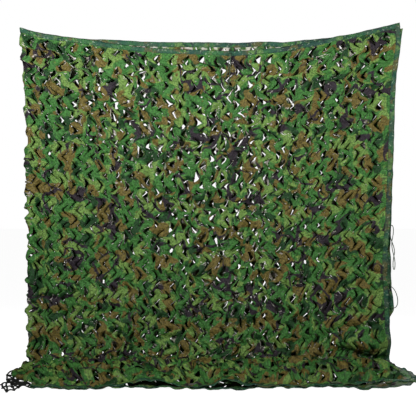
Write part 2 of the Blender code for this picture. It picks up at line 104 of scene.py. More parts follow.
TOP_EDGE = {
    "x": (
        -1.034, -0.93, -0.70, -0.53, -0.34, -0.19, 0.0, 0.15, 0.30, 0.40, 0.50, 0.62, 0.70, 0.77, 0.87,
        0.985, 1.06,
    ),
    "back": (
        0.080, 0.053, 0.020, 0.014, 0.004, 0.001, 0.0, -0.003, 0.004, 0.000, 0.010, 0.021, 0.030, 0.036,
        0.048, 0.064, 0.080,
    ),
    "front": (
        0.080, 0.047, 0.014, -0.012, -0.031, -0.040, -0.048, -0.053, -0.042, -0.032, -0.014, 0.009, 0.030,
        0.040, 0.063, 0.088, 0.106,
    ),
}
SIDES = {
    "drop": (
        -0.11, 0.0, 0.2, 0.5, 0.8, 0.98, 1.12, 1.20, 1.34, 1.47, 1.53, 1.77, 1.84, 1.90, 1.96, 2.03, 2.10,
        2.15, 2.22, 2.33,
    ),
    "fold": (
        -1.037, -1.025, -1.018, -0.993, -0.988, -0.985, -0.983, -0.985, -0.990, -0.991, -0.991, -0.990,
        -0.986, -0.986, -1.002, -1.014, -0.990, -0.955, -0.892, -0.860,
    ),
    "front": (
        1.046, 1.054, 1.028, 1.012, 1.002, 0.994, 0.984, 0.979, 0.984, 0.992, 0.994, 0.996, 1.002, 1.010,
        1.024, 1.040, 1.048, 1.046, 1.032, 0.985,
    ),
    "back": (
        1.076, 1.058, 1.034, 1.020, 1.010, 1.005, 0.999, 1.003, 1.008, 1.020, 0.992, 0.996, 1.003, 1.010,
        1.024, 1.040, 1.048, 1.042, 1.015, 0.940,
    ),
}
FOOT_REACH = {
    "x": (-1.0, -0.80, -0.50, -0.35, -0.10, 0.10, 0.30, 0.40, 0.60, 0.68, 0.74, 0.83, 0.93, 1.0),
    "front": (
        0.535, 0.540, 0.505, 0.510, 0.548, 0.532, 0.496, 0.525, 0.490, 0.480, 0.445, 0.430, 0.430, 0.420,
    ),
    "back": (
        0.535, 0.545, 0.512, 0.518, 0.556, 0.540, 0.504, 0.532, 0.498, 0.510, 0.528, 0.540, 0.505, 0.470,
    ),
}
FOOT_RIDGES = (
    {"at": 0.10, "height": 0.036, "width": 0.050, "sway": 0.018, "sway_length": 0.90, "phase": 0.4},
    {"at": 0.25, "height": 0.046, "width": 0.055, "sway": 0.030, "sway_length": 0.66, "phase": 2.1},
    {"at": 0.39, "height": 0.030, "width": 0.048, "sway": 0.022, "sway_length": 0.54, "phase": 4.0},
)
HANG_FOLDS = (
    {"x": -0.90, "drop": 1.45, "half_width": 0.060, "half_height": 0.34, "depth": 0.032},
    {"x": -0.72, "drop": 1.36, "half_width": 0.140, "half_height": 0.060, "depth": -0.014},
    {"x": -0.74, "drop": 1.50, "half_width": 0.140, "half_height": 0.055, "depth": 0.014},
    {"x": 0.88, "drop": 1.64, "half_width": 0.110, "half_height": 0.060, "depth": -0.034},
    {"x": 0.84, "drop": 1.74, "half_width": 0.140, "half_height": 0.036, "depth": 0.024},
    {"x": 0.20, "drop": 1.62, "half_width": 0.300, "half_height": 0.080, "depth": -0.012},
    {"x": -0.35, "drop": 0.25, "half_width": 0.120, "half_height": 0.300, "depth": 0.012},
    {"x": 0.55, "drop": 0.30, "half_width": 0.140, "half_height": 0.320, "depth": -0.012},
)
HANG_WAVES = (
    {"depth": 0.010, "length": 0.66, "drift": 1.5, "phase": 0.6},
    {"depth": 0.005, "length": 0.34, "drift": -2.2, "phase": 0.0},
)
FOOT_ARCHES = (
    {"x": -0.28, "half_width": 0.100, "height": 0.030},
    {"x": 0.10, "half_width": 0.085, "height": 0.036},
)
print("drop at the bend:", round(BEND_DROP, 4), "and where the foot starts:", round(FOOT_DROP, 4))

# %% [markdown]
# ## Curves and blends
#
# Two small tools draw every fold. `blend` fades an effect in over a distance. `along` reads a smooth curve
# through a short table of measured points: a sagging edge needs fewer than twenty of them, where a drawn
# outline would need hundreds.

# %% Curves and blends


def blend(value, start, end):
    """Smooth step from 0 at start to 1 at end."""
    t = np.clip((value - start) / (end - start), 0.0, 1.0)
    return t * t * (3 - 2 * t)


def along(table, key, column, value):
    """A smooth curve through one column of a table, read at values of its key column."""
    xs, ys = np.array(table[key]), np.array(table[column])
    last = len(xs) - 1
    value = np.clip(value, xs[0], xs[last])
    i = np.clip(np.searchsorted(xs, value, side="right") - 1, 0, last - 1)
    ahead = np.minimum(np.arange(last + 1) + 1, last)
    behind = np.maximum(np.arange(last + 1) - 1, 0)
    slope = (ys[ahead] - ys[behind]) / (xs[ahead] - xs[behind])
    step = xs[i + 1] - xs[i]
    t = (value - xs[i]) / step
    return (
        (2 * t**3 - 3 * t**2 + 1) * ys[i]
        + (t**3 - 2 * t**2 + t) * step * slope[i]
        + (3 * t**2 - 2 * t**3) * ys[i + 1]
        + (t**3 - t**2) * step * slope[i + 1]
    )


middle_sag = along(TOP_EDGE, "x", "front", 0.0)
print("front top edge in the middle:", round(float(middle_sag), 3))

# %% [markdown]
# ## Folds
#
# A cloth simulation would hang the net well, but not in the folds of one photograph, and it could settle
# differently on another machine. So the folds are a sum: slow waves over the whole width, and single
# troughs and swells placed one by one. On the floor the cloth gathers in three wandering ridges, and its two
# corners lie flat.

# %% Folds of the hanging cloth and of the foot
SLACK_DROP = 0.7
RIDGES_START = 0.05
EDGE_ZONE = 0.12
LEFT_CORNER = (-0.88, -0.72)
LEFT_CORNER_START = (0.05, 0.14)
RIGHT_CORNER = (0.88, 1.0)
RIGHT_CORNER_FLATTER = 0.85
SWELL_MEAN = 0.66
SWELL = 0.34
SWELL_RATE = 1.7
SWELL_PHASE = 1.0


def hang_depth(x, drop):
    """How far the hanging cloth's waves and folds stand back from its plane."""
    slack = blend(drop, 0.0, SLACK_DROP)
    depth = 0.0
    for wave in HANG_WAVES:
        turn = 2 * pi * x / wave["length"] + wave["drift"] * drop + wave["phase"]
        depth = depth + slack * wave["depth"] * np.sin(turn)
    for fold in HANG_FOLDS:
        sideways = (x - fold["x"]) / fold["half_width"]
        down = (drop - fold["drop"]) / fold["half_height"]
        depth = depth + fold["depth"] * np.exp(-(sideways**2) - down**2)
    return depth


def foot_rise(x, forward):
    """Height of the ridges in the cloth on the floor."""
    reach = along(FOOT_REACH, "x", "front", x)
    left_corner = np.maximum(blend(x, *LEFT_CORNER), 1 - blend(forward, *LEFT_CORNER_START))
    right_corner = 1 - RIGHT_CORNER_FLATTER * blend(x, *RIGHT_CORNER)
    before_edge = 1 - blend(forward, reach - EDGE_ZONE, reach - BAND_W - FLAT_EDGE)
    envelope = blend(forward, 0.0, RIDGES_START) * before_edge
    envelope = envelope * left_corner * right_corner
    rise = 0.0
    for ridge in FOOT_RIDGES:
        turn = 2 * pi * x / ridge["sway_length"] + ridge["phase"]
        middle = ridge["at"] + ridge["sway"] * np.sin(turn)
        swell = SWELL_MEAN + SWELL * np.sin(SWELL_RATE * turn + SWELL_PHASE)
        rise = rise + ridge["height"] * swell * np.exp(-(((forward - middle) / ridge["width"]) ** 2))
    return rise * envelope


ridge_tops = foot_rise(np.zeros(len(FOOT_RIDGES)), np.array([ridge["at"] for ridge in FOOT_RIDGES]))
print("heights of the ridges in the middle of the foot:", np.round(ridge_tops, 3).tolist())

# %% [markdown]
# ## The two layers
#
# The net is folded double, so two layers hang a finger's width apart. `base_point` lays the back layer down
# its path: down, round the bend and forward. The front layer is the same surface, pushed out along its
# normal by `layer_gap`, so the two can't cross. The gap closes at the foot, where the edge is bound,
# and lifts in two arches that the photograph shows there.

# %% The two layers
FLOOR_CLEARANCE = 0.001
LEAST_LENGTH = 1e-12
NORMAL_STEP = 0.01
GAP_WAVE_LENGTH = 0.9
GAP_WAVE_DRIFT = 2.6
GAP_CLOSES_OVER = 0.25
MESH_CORNER_END = (-0.95, -0.80)
ARCH_FROM = 0.22
ARCH_TO = 0.04


def base_point(x, drop):
    """Points of the back layer's middle surface."""
    angle = np.clip((drop - BEND_DROP) / BEND_R, 0, pi / 2)
    hanging = np.minimum(drop, BEND_DROP)
    forward = np.maximum(drop - FOOT_DROP, 0)
    y = hang_depth(x, hanging) - BEND_R * (1 - np.cos(angle)) - forward
    z = -hanging - BEND_R * np.sin(angle) + foot_rise(x, forward)
    return np.stack([x, y, z], axis=-1)


def unit(vectors):
    """Vectors made one long."""
    return vectors / np.maximum(np.linalg.norm(vectors, axis=-1, keepdims=True), LEAST_LENGTH)


def above_floor(points):
    """Points, with those that are too low set just above the floor."""
    points = points.copy()
    points[..., 2] = np.maximum(points[..., 2], FLOOR_Z + FLOOR_CLEARANCE)
    return points


def base_normal(x, drop):
    """The back layer's outward normal, from points a small step away."""
    sideways = base_point(x + NORMAL_STEP, drop) - base_point(x - NORMAL_STEP, drop)
    down = base_point(x, drop + NORMAL_STEP) - base_point(x, drop - NORMAL_STEP)
    return unit(np.cross(down, sideways))


def layer_gap(x, drop):
    """Distance from the back layer out to the front layer."""
    hanging = LAYER_GAP + LAYER_GAP_WAVE * np.sin(2 * pi * x / GAP_WAVE_LENGTH + GAP_WAVE_DRIFT * drop)
    gap = hanging + (FOOT_GAP - hanging) * blend(drop, BEND_DROP - GAP_CLOSES_OVER, FOOT_DROP)
    forward = drop - FOOT_DROP
    reach = along(FOOT_REACH, "x", "front", x)
    at_edge = blend(forward, reach - EDGE_ZONE, reach - BAND_W) * blend(x, *MESH_CORNER_END)
    gap = gap + (EDGE_GAP - gap) * at_edge
    for arch in FOOT_ARCHES:
        lift = arch["height"] * blend(forward, reach - ARCH_FROM, reach - ARCH_TO)
        gap = gap + lift * np.exp(-(((x - arch["x"]) / arch["half_width"]) ** 2))
    return gap


middle_gap = layer_gap(np.array([0.0]), np.array([BEND_DROP / 2]))[0]
print("layers apart halfway down:", round(float(middle_gap) * 1000, 1), "mm")

# %% [markdown]
# ## Creases
#
# A thin cloth is never as smooth as its main folds. Two kinds of crease are added to both layers alike, so
# that they can't cut through each other: waves of a few chosen directions, low on the hanging cloth and
# sharp on the floor, and a short list of single creases that the photograph shows, each a soft trough or
# ridge along a line.

# %% Creases
WAVES = (
    {"across": 7.0, "down": 2.0, "height": 0.0022},
    {"across": 3.5, "down": 9.0, "height": 0.0024},
    {"across": -11.0, "down": 6.0, "height": 0.0018},
    {"across": 5.0, "down": -15.0, "height": 0.0016},
)
FLOOR_WAVES = (
    {"across": 2.2, "down": 9.0, "height": 0.0150},
    {"across": -3.7, "down": 6.5, "height": 0.0120},
    {"across": 6.5, "down": 3.0, "height": 0.0090},
)
CREASES = (
    {"x": (-0.82, -0.60), "drop": (0.586, 0.580), "depth": -0.006, "width": 0.012},
    {"x": (0.68, 0.95), "drop": (1.565, 1.555), "depth": -0.016, "width": 0.011},
    {"x": (0.74, 0.98), "drop": (1.630, 1.655), "depth": 0.018, "width": 0.034},
    {"x": (0.70, 0.98), "drop": (1.680, 1.745), "depth": -0.028, "width": 0.020},
    {"x": (-0.97, -0.62), "drop": (1.395, 1.415), "depth": -0.007, "width": 0.016},
    {"x": (-0.96, -0.55), "drop": (1.490, 1.475), "depth": -0.008, "width": 0.016},
    {"x": (-0.60, -0.10), "drop": (1.600, 1.625), "depth": -0.007, "width": 0.018},
    {"x": (0.05, 0.55), "drop": (1.660, 1.640), "depth": -0.008, "width": 0.018},
)
FLAT_LEFT_CORNER = (-0.97, -0.85)
TAUT_TOP = (0.02, 0.25)
FLOOR_WAVES_START = (BEND_DROP - 0.12, FOOT_DROP + 0.05)
FLOOR_WAVES_END = (FOOT_DROP + 0.36, FOOT_DROP + 0.46)
FLOOR_WAVE_SWAY = 2.0
FLOOR_WAVE_SWAY_RATE = 4.1
FLOOR_WAVE_OFFSET = 1.3
CREASE_FADE_OUTSIDE = 0.05
CREASE_FADE_INSIDE = 0.04

# %% Height of the creases


def off_corners(x):
    """0 where the foot's two corners lie flat, 1 between them."""
    return blend(x, *FLAT_LEFT_CORNER) * (1 - RIGHT_CORNER_FLATTER * blend(x, *RIGHT_CORNER))


def creases(x, drop):
    """Height of the creases, towards the viewer."""
    floor = blend(drop, *FLOOR_WAVES_START) * (1 - blend(drop, *FLOOR_WAVES_END))
    slack = blend(drop, *TAUT_TOP)
    height = 0.0
    for wave in WAVES:
        turn = 2 * pi * (wave["across"] * x + wave["down"] * drop)
        height = height + slack * wave["height"] * np.sin(turn)
    for wave in FLOOR_WAVES:
        sway = FLOOR_WAVE_SWAY * np.sin(FLOOR_WAVE_SWAY_RATE * x + FLOOR_WAVE_OFFSET * wave["down"])
        turn = 2 * pi * (wave["across"] * x + wave["down"] * drop) + sway
        height = height + floor * off_corners(x) * wave["height"] * (1 - np.abs(np.sin(turn)))
    for crease in CREASES:
        (x0, x1), (d0, d1) = crease["x"], crease["drop"]
        share = np.clip((x - x0) / (x1 - x0), 0, 1)
        away = (drop - (d0 + (d1 - d0) * share)) / crease["width"]
        begins = blend(x, x0 - CREASE_FADE_OUTSIDE, x0 + CREASE_FADE_INSIDE)
        ends = begins * (1 - blend(x, x1 - CREASE_FADE_INSIDE, x1 + CREASE_FADE_OUTSIDE))
        height = height + crease["depth"] * ends * np.exp(-(away**2))
    return height


print("single creases:", len(CREASES))

# %% [markdown]
# ## From the flat cloth to the draped one
#
# On the cutting table a point of the cloth is `s` metres to the right of the fold, or to the left of it
# where `s` is negative, and `b` metres below the top edge. The front layer takes the positive side. Round
# the fold the cloth follows a half circle from one layer to the other. Working from the flat cloth keeps
# slits, print and tape together: each is laid out once, as its maker would, and `drape` carries it to its
# place.

# %% Flat to draped
SHEET_W = 2.025
SHEET_L = 2.400
HALF_TURN = pi / 2 * LAYER_GAP / 2


def across_and_drop(layer, s, b):
    """x and drop of a flat point on one layer."""
    share = np.maximum(np.abs(s) - HALF_TURN, 0) / (SHEET_W - HALF_TURN)
    guess = SIDES["fold"][1] + share * NET_W
    top = -along(TOP_EDGE, "x", layer, guess)
    end = FOOT_DROP + along(FOOT_REACH, "x", layer, guess)
    drop = top + (end - top) * b / SHEET_L
    left = along(SIDES, "drop", "fold", drop) + LAYER_GAP / 2
    right = along(SIDES, "drop", layer, drop)
    return left + (right - left) * share, drop


def layer_surface(layer, s, b):
    """Points and outward normals of one layer, with its creases."""
    x, drop = across_and_drop(layer, s, b)
    normal = base_normal(x, drop)
    point = base_point(x, drop) + normal * creases(x, drop)[..., None]
    if layer == "front":
        point = point + normal * layer_gap(x, drop)[..., None]
    return point, normal


print("flat cloth:", 2 * SHEET_W, "by", SHEET_L, "m")

# %% [markdown]
# ## The edges pucker
#
# Tape and cloth don't stretch alike, so a bound edge ripples. Each edge gets two or three sine waves whose
# lengths don't divide one another, which looks uneven and still gives the same edge on every run.

# %% Drape with puckered edges
RUFFLE = 0.0022
RUFFLE_REACH = 0.045
END_RIPPLES = (
    {"height": 1.0, "length": 0.083, "phase": 0.0},
    {"height": 0.8, "length": 0.131, "phase": 1.0},
    {"height": 0.6, "length": 0.047, "phase": 0.0},
)
SIDE_RIPPLES = (
    {"height": 1.0, "length": 0.076, "phase": 0.0},
    {"height": 0.8, "length": 0.127, "phase": 2.0},
)


def rippled(distance, ripples):
    """The sum of some ripples along an edge."""
    return sum(r["height"] * np.sin(2 * pi * distance / r["length"] + r["phase"]) for r in ripples)


def edge_ruffle(s, b):
    """Height of the pucker along the bound edges."""
    ends = np.exp(-b / RUFFLE_REACH) + np.exp(-(SHEET_L - b) / RUFFLE_REACH)
    sides = np.exp(-(SHEET_W - np.abs(s)) / RUFFLE_REACH)
    return RUFFLE * (ends * rippled(s, END_RIPPLES) + sides * rippled(b, SIDE_RIPPLES))


def drape(s, b):
    """Draped place and outward normal of flat points."""
    s, b = np.clip(s, -SHEET_W, SHEET_W), np.clip(b, 0, SHEET_L)
    front, facing = layer_surface("front", s, b)
    back, _ = layer_surface("back", s, b)
    turn = (pi / 2 * (1 - np.clip(s / HALF_TURN, -1, 1)))[..., None]
    middle, half = (front + back) / 2, (front - back) / 2
    outwards = np.array([-1.0, 0.0, 0.0])
    radius = np.linalg.norm(half, axis=-1, keepdims=True)
    point = middle + half * np.cos(turn) + outwards * radius * np.sin(turn)
    normal = unit(half) * np.cos(turn) + outwards * np.sin(turn)
    normal = np.where(np.abs(s)[..., None] < HALF_TURN, normal, facing * np.sign(s)[..., None])
    return point + normal * edge_ruffle(s, b)[..., None], normal


corner_place, _ = drape(np.array([SHEET_W, -SHEET_W, 0.0]), np.array([0.0, 0.0, 0.0]))
print("top corners (front, back, fold):", np.round(corner_place, 3).tolist())

# %% [markdown]
# ## Making meshes
#
# Every cloth piece here starts as a middle surface of quads and is then given its thickness: each point is
# moved both ways along its normal, and a rim closes every edge, round the piece and round each slit. Doing
# this by hand instead of with the Solidify modifier lets the printed face and the paler reverse have their
# own place in the texture map.

# %% Mesh helpers
MAP_NAME = "OFBake"
MAP_MARGIN = 0.01


def place_piece(name, data, *finishes):
    """An object in the scene, with its finishes."""
    piece = bpy.data.objects.new(name, data)
    for finish in finishes:
        piece.data.materials.append(finish)
    bpy.context.scene.collection.objects.link(piece)
    return piece


def vertex_normals(points, quads):
    """Normals of the points, from the quads round them."""
    a, b, c, d = (points[quads[:, k]] for k in range(4))
    face = np.cross(c - a, d - b)
    total = np.zeros_like(points)
    for k in range(4):
        np.add.at(total, quads[:, k], face)
    return unit(total)


def rim_corners(quads):
    """Quad and corner at which each edge starts that only one quad has."""
    edges = np.concatenate([np.stack([quads[:, k], quads[:, (k + 1) % 4]], axis=1) for k in range(4)])
    _, first, counts = np.unique(np.sort(edges, axis=1), axis=0, return_index=True, return_counts=True)
    lone = first[counts == 1]
    return lone % len(quads), lone // len(quads)

# %% Thick meshes


def thick_mesh(name, points, quads, flat, chart, thickness):
    """A closed mesh round a middle surface of quads.

    flat is each point's place on the cutting table, which the print is read at. chart is the place of every
    quad's corners in a texture map of its own, from 0 to 1; the face and the reverse take half of it each.
    """
    normals = vertex_normals(points, quads)
    count = len(points)
    shell = np.concatenate([points + normals * thickness / 2, points - normals * thickness / 2])
    quad, corner = rim_corners(quads)
    start, end = quads[quad, corner], quads[quad, (corner + 1) % 4]
    walls = np.stack([end, start, start + count, end + count], axis=1)
    faces = np.concatenate([quads, quads[:, ::-1] + count, walls])
    mesh = bpy.data.meshes.new(name)
    mesh.vertices.add(len(shell))
    mesh.vertices.foreach_set("co", shell.astype(np.float32).ravel())
    mesh.loops.add(faces.size)
    mesh.loops.foreach_set("vertex_index", faces.astype(np.int32).ravel())
    mesh.polygons.add(len(faces))
    mesh.polygons.foreach_set("loop_start", np.arange(0, faces.size, 4, dtype=np.int32))
    side = np.zeros(len(faces), np.int32)
    side[len(quads) :] = 1
    mesh.polygons.foreach_set("material_index", side)
    mesh.update(calc_edges=True)
    mesh.shade_smooth()
    chart = MAP_MARGIN + (1 - 2 * MAP_MARGIN) * chart
    start_chart, end_chart = chart[quad, corner], chart[quad, (corner + 1) % 4]
    wall_chart = np.stack([end_chart, start_chart, start_chart, end_chart], axis=1)
    face_half, reverse_half = (0.5, 1.0), (0.5, 0.0)
    layout = np.concatenate(
        [chart * face_half, chart[:, ::-1] * face_half + reverse_half, wall_chart * face_half + reverse_half]
    )
    mesh.uv_layers.new(name=MAP_NAME).uv.foreach_set("vector", layout.astype(np.float32).ravel())
    table_place = np.zeros((2 * count, 3), np.float32)
    table_place[:, :2] = np.concatenate([flat, flat])
    mesh.attributes.new("flat", "FLOAT_VECTOR", "POINT").data.foreach_set("vector", table_place.ravel())
    return mesh

# %% [markdown]
# ## Shader helper
#
# A pattern is easier to read as arithmetic than as a list of nodes. `Shade` wraps one output of a
# material's node tree: `+`, `-` and `*` add Math nodes, and `add` makes any other node.

# %% Shader arithmetic


class Shade:
    """One output of a material's nodes."""

    def __init__(self, tree, socket=None):
        self.tree, self.socket = tree, socket

    def add(self, kind, settings, sockets, output=0):
        """Adds a node: its settings first, then the values or links of its sockets."""
        node = self.tree.nodes.new(kind)
        for name, value in settings.items():
            setattr(node, name, value)
        for name, value in sockets.items():
            if isinstance(value, Shade):
                self.tree.links.new(value.socket, node.inputs[name])
            else:
                node.inputs[name].default_value = value
        return Shade(self.tree, node.outputs[output])

    def math(self, operation, *values):
        return self.add("ShaderNodeMath", {"operation": operation}, dict(enumerate(values)))

    def __add__(self, other):
        return self.math("ADD", self, other)

    def __sub__(self, other):
        return self.math("SUBTRACT", self, other)

    def __rsub__(self, other):
        return self.math("SUBTRACT", other, self)

    def __mul__(self, other):
        return self.math("MULTIPLY", self, other)

    def __abs__(self):
        return self.math("ABSOLUTE", self)

    def above(self, level, softness):
        """A mask that goes from 0 to 1 round a level."""
        ends = {"Value": self, "From Min": level - softness / 2, "From Max": level + softness / 2}
        return self.add("ShaderNodeMapRange", {"interpolation_type": "SMOOTHSTEP"}, ends)

    def moved(self, other):
        return self.add("ShaderNodeVectorMath", {"operation": "ADD"}, {0: self, 1: other})

    def scaled(self, factor):
        return self.add("ShaderNodeVectorMath", {"operation": "SCALE"}, {0: self, "Scale": factor})

    def noise(self, scale, detail, roughness=0.5, colour=False):
        sockets = {"Vector": self, "Scale": scale, "Detail": detail, "Roughness": roughness}
        return self.add("ShaderNodeTexNoise", {}, sockets, output=1 if colour else 0)

    def mixed(self, factor, other, way="MIX"):
        """This colour, and the other one where factor is 1."""
        settings = {"data_type": "RGBA", "blend_type": way}
        return self.add("ShaderNodeMix", settings, {0: factor, 6: self, 7: other}, output=2)

    def colour(self, value):
        made = self.add("ShaderNodeRGB", {}, {})
        made.socket.default_value = value
        return made

# %% New finishes
CLOTH_SPECULAR = 0.25
BUMP_STRENGTH = 0.6


def new_finish(name, roughness):
    """A material with its shader, and a Shade to start expressions from."""
    finish = bpy.data.materials.new(name)
    finish.use_nodes = True
    tree = finish.node_tree
    shader = tree.nodes["Principled BSDF"]
    shader.inputs["Roughness"].default_value = roughness
    shader.inputs["Specular IOR Level"].default_value = CLOTH_SPECULAR
    return finish, shader, Shade(tree)


def finish_with(shader, colour, height, distance):
    """Links a colour and a bump height to a finish's shader."""
    links = colour.tree.links
    links.new(colour.socket, shader.inputs["Base Color"])
    sockets = {"Strength": BUMP_STRENGTH, "Distance": distance, "Height": height}
    bump = height.add("ShaderNodeBump", {}, sockets)
    links.new(bump.socket, shader.inputs["Normal"])

# %% [markdown]
# ## The woodland print
#
# The cloth carries the usual woodland print: mid green, with blots of light green, dark green and brown,
# and black branches over them. Each blot is a noise, cut at a level, and all of them are bent by one more
# noise so that their edges wander. A branch is a thin band round the middle level of a noise, broken off by
# another. The print lies on the flat cloth, so it is read at the place on the cutting table and breaks up
# where the leaves twist, as it does on the real net.

# %% The print
PRINT = {
    "mid green": (0.042, 0.154, 0.029, 1),
    "light green": (0.136, 0.244, 0.052, 1),
    "dark green": (0.009, 0.047, 0.010, 1),
    "brown": (0.132, 0.102, 0.022, 1),
    "black": (0.020, 0.014, 0.020, 1),
}
BLOTS = {
    "dark green": {"from": (11.3, 1.9, 0.0), "scale": 10.0, "level": 0.548},
    "light green": {"from": (3.1, 7.7, 0.0), "scale": 11.0, "level": 0.545},
    "brown": {"from": (5.9, 13.1, 0.0), "scale": 11.0, "level": 0.555},
}
BLOT_EDGE = 0.03
NOISE_MIDDLE = 0.5
BEND_SCALE = 9.0
BEND_REACH = 0.070
BRANCH = {"from": (17.0, 4.0, 0.0), "scale": 8.0, "half_width": 0.034, "edge": 0.016}
BRANCH_BREAKS = {"from": (2.0, 21.0, 0.0), "scale": 5.5, "level": 0.530, "edge": 0.03}
MOTTLE = {"scale": 105.0, "edge": 0.40, "range": 0.95, "least": 0.40, "share": 0.9}


def branches(bent):
    """A mask of the print's black branches."""
    branch = bent.moved(BRANCH["from"]).noise(BRANCH["scale"], detail=1.5)
    off_middle = abs(branch - NOISE_MIDDLE).above(BRANCH["half_width"], BRANCH["edge"])
    breaks = bent.moved(BRANCH_BREAKS["from"]).noise(BRANCH_BREAKS["scale"], detail=1.0)
    return (1 - off_middle) * breaks.above(BRANCH_BREAKS["level"], BRANCH_BREAKS["edge"])


def woodland(start, size=1.0):
    """The printed colour at a place on the cutting table, and that place."""
    table = start.add("ShaderNodeAttribute", {"attribute_name": "flat"}, {}, output=1)
    place = table.scaled(1.0 / size)
    bend = place.noise(BEND_SCALE, detail=1.5, colour=True).moved((-NOISE_MIDDLE,) * 3)
    bent = place.moved(bend.scaled(BEND_REACH))
    colour = start.colour(PRINT["mid green"])
    for name, blot in BLOTS.items():
        mask = bent.moved(blot["from"]).noise(blot["scale"], detail=2.0).above(blot["level"], BLOT_EDGE)
        colour = colour.mixed(mask, PRINT[name])
    colour = colour.mixed(branches(bent), PRINT["black"])
    speckle = table.noise(MOTTLE["scale"], detail=2.0, roughness=0.6).above(NOISE_MIDDLE, MOTTLE["edge"])
    mottle = speckle * MOTTLE["range"] + MOTTLE["least"]
    shade = start.add("ShaderNodeCombineColor", {}, {0: mottle, 1: mottle, 2: mottle})
    return colour.mixed(MOTTLE["share"], shade, "MULTIPLY"), table


print("colours of the print:", ", ".join(PRINT))

# %% Small creases for the bump
FINE_SHARE = 0.4
RIDGE_SHARE = 2.4


def crumple_height(table):
    """Small creases of thin cloth that has been folded and packed."""
    fine = table.noise(scale=85.0, detail=3.0, roughness=0.6)
    ridge = abs(table.noise(scale=38.0, detail=2.0) - NOISE_MIDDLE)
    return fine * FINE_SHARE - ridge * RIDGE_SHARE

# %% [markdown]
# ## The printed face and its reverse
#
# The face is matt, printed cloth. The ink doesn't go right through the cloth, so the reverse shows the same
# print, pale and worn away in patches. That could be a second, lighter print, but mixing the first one with
# a cloth colour keeps every blot at the same place on both sides. The reverse is also mixed towards near
# black: painted shade for the dark space between the two layers. The foot lies in the shade and on the
# floor, so most of the pale wear on its reverse is left out there: painted shade too.

# %% Finishes of the cloth
REVERSE = (0.62, 0.57, 0.52, 1)
# Painted shade: a near-black colour mixed into the reverse, for the dark space between the two layers.
PAINTED_SHADE_INSIDE = (0.012, 0.016, 0.007, 1)
PAINTED_SHADE_SHARE = 0.4
WASHED_SHARE = 0.65
ON_FOOT_FROM = 1.95
# Painted shade on the foot: how much of the reverse's pale wear is left out there.
FOOT_PAINTED_SHADE = 0.75
PATCHES_FROM = (9.0, 9.0, 0.0)
PATCH_LEVEL = 0.55

printed, printed_shader, start = new_finish("printed_cloth", roughness=0.62)
colour, table = woodland(start)
finish_with(printed_shader, colour, crumple_height(table), distance=0.013)

reverse, reverse_shader, start = new_finish("cloth_reverse", roughness=0.75)
colour, table = woodland(start)
patches = table.moved(PATCHES_FROM).noise(scale=26.0, detail=1.0)
down_the_cloth = table.add("ShaderNodeSeparateXYZ", {}, {0: table}, output=1)
foot_in_painted_shade = down_the_cloth.above(ON_FOOT_FROM, softness=0.10)
# Real pale wear in patches, cut back on the foot as painted shade; the reverse is then darkened as painted
# shade.
wear_and_foot_shade = patches.above(PATCH_LEVEL, softness=0.16) * WASHED_SHARE * (1 - foot_in_painted_shade * FOOT_PAINTED_SHADE)
colour = colour.mixed(PAINTED_SHADE_SHARE, PAINTED_SHADE_INSIDE).mixed(wear_and_foot_shade, REVERSE)
finish_with(reverse_shader, colour, crumple_height(table), distance=0.006)
print("cloth finishes:", printed.name, reverse.name)

# %% [markdown]
# ## The tape's finish
#
# The tape is cut from the same cloth but looks bluer. The print is used again, a little smaller, under a
# tint in soft patches, and small bright specks are painted over it: painted highlights where the weave would
# catch the light.

# %% Finish of the tape
TAPE_TINT = (0.014, 0.065, 0.045, 1)
# The pale specks are painted highlights, not a colour of the tape.
TAPE_PAINTED_GLINT = (0.300, 0.380, 0.270, 1)
TINT_MORE = 0.45
TINT_LEAST = 0.38
PAINTED_GLINT_SHARE = 0.45
TINT_FROM = (4.0, 4.0, 0.0)
TINT_LEVEL = 0.50
PAINTED_GLINTS_FROM = (8.0, 8.0, 0.0)
PAINTED_GLINT_LEVEL = 0.66

taped, taped_shader, start = new_finish("bound_tape", roughness=0.62)
colour, table = woodland(start, size=0.8)
tint_patches = table.moved(TINT_FROM).noise(scale=10.0, detail=2.0).above(TINT_LEVEL, softness=0.12)
tinted = tint_patches * TINT_MORE + TINT_LEAST
# Painted highlights: small bright specks where the weave would catch the light.
painted_glints = table.moved(PAINTED_GLINTS_FROM).noise(scale=70.0, detail=1.0).above(PAINTED_GLINT_LEVEL, softness=0.04)
colour = colour.mixed(tinted, TAPE_TINT).mixed(painted_glints * PAINTED_GLINT_SHARE, TAPE_PAINTED_GLINT)
finish_with(taped_shader, colour, crumple_height(table), distance=0.009)
print("tape finish:", taped.name)

# %% [markdown]
# ## The slit cloth
#
# On the cutting table the slits are chevrons 60 or 80 mm tall. Rows that point left and rows that point
# right take turns, and each row is staggered against the next. A slit could be cut with a Boolean, but
# thousands of them would be slow and ragged. Instead the grid of the cloth follows them: its upright lines
# zigzag, so every slit lies on a grid line and is opened by giving its right lip its own points.

# %% Sizes of the slits
# Rows, columns and halves count the grid's own lines. BACK_SHIFT and STAGGER are in columns too.
PITCH = 0.075
ROW_HEIGHT = 0.050
COLUMNS_PER_PITCH = 8
ROWS_PER_ROW = 5
COLUMN_STEP = PITCH / COLUMNS_PER_PITCH
ROW_STEP = ROW_HEIGHT / ROWS_PER_ROW
SLIT_HALF = 4
ZIGZAG = 0.60 * PITCH
STAGGER = 3
BACK_SHIFT = 4
LEAF_COLUMNS = 2.5
FIRST_ROW = 6
SLIT_TO_SIDE = 0.062
CLOTH_THIN = 0.0011

HALF_COLUMNS = int(SHEET_W / COLUMN_STEP) + 2
ROWS = round(SHEET_L / ROW_STEP)
FOOT_ROW = 182
FOLD_COLUMN = -2
print("rows of the grid:", ROWS, "and columns to each side:", HALF_COLUMNS)

# %% Where the slits are


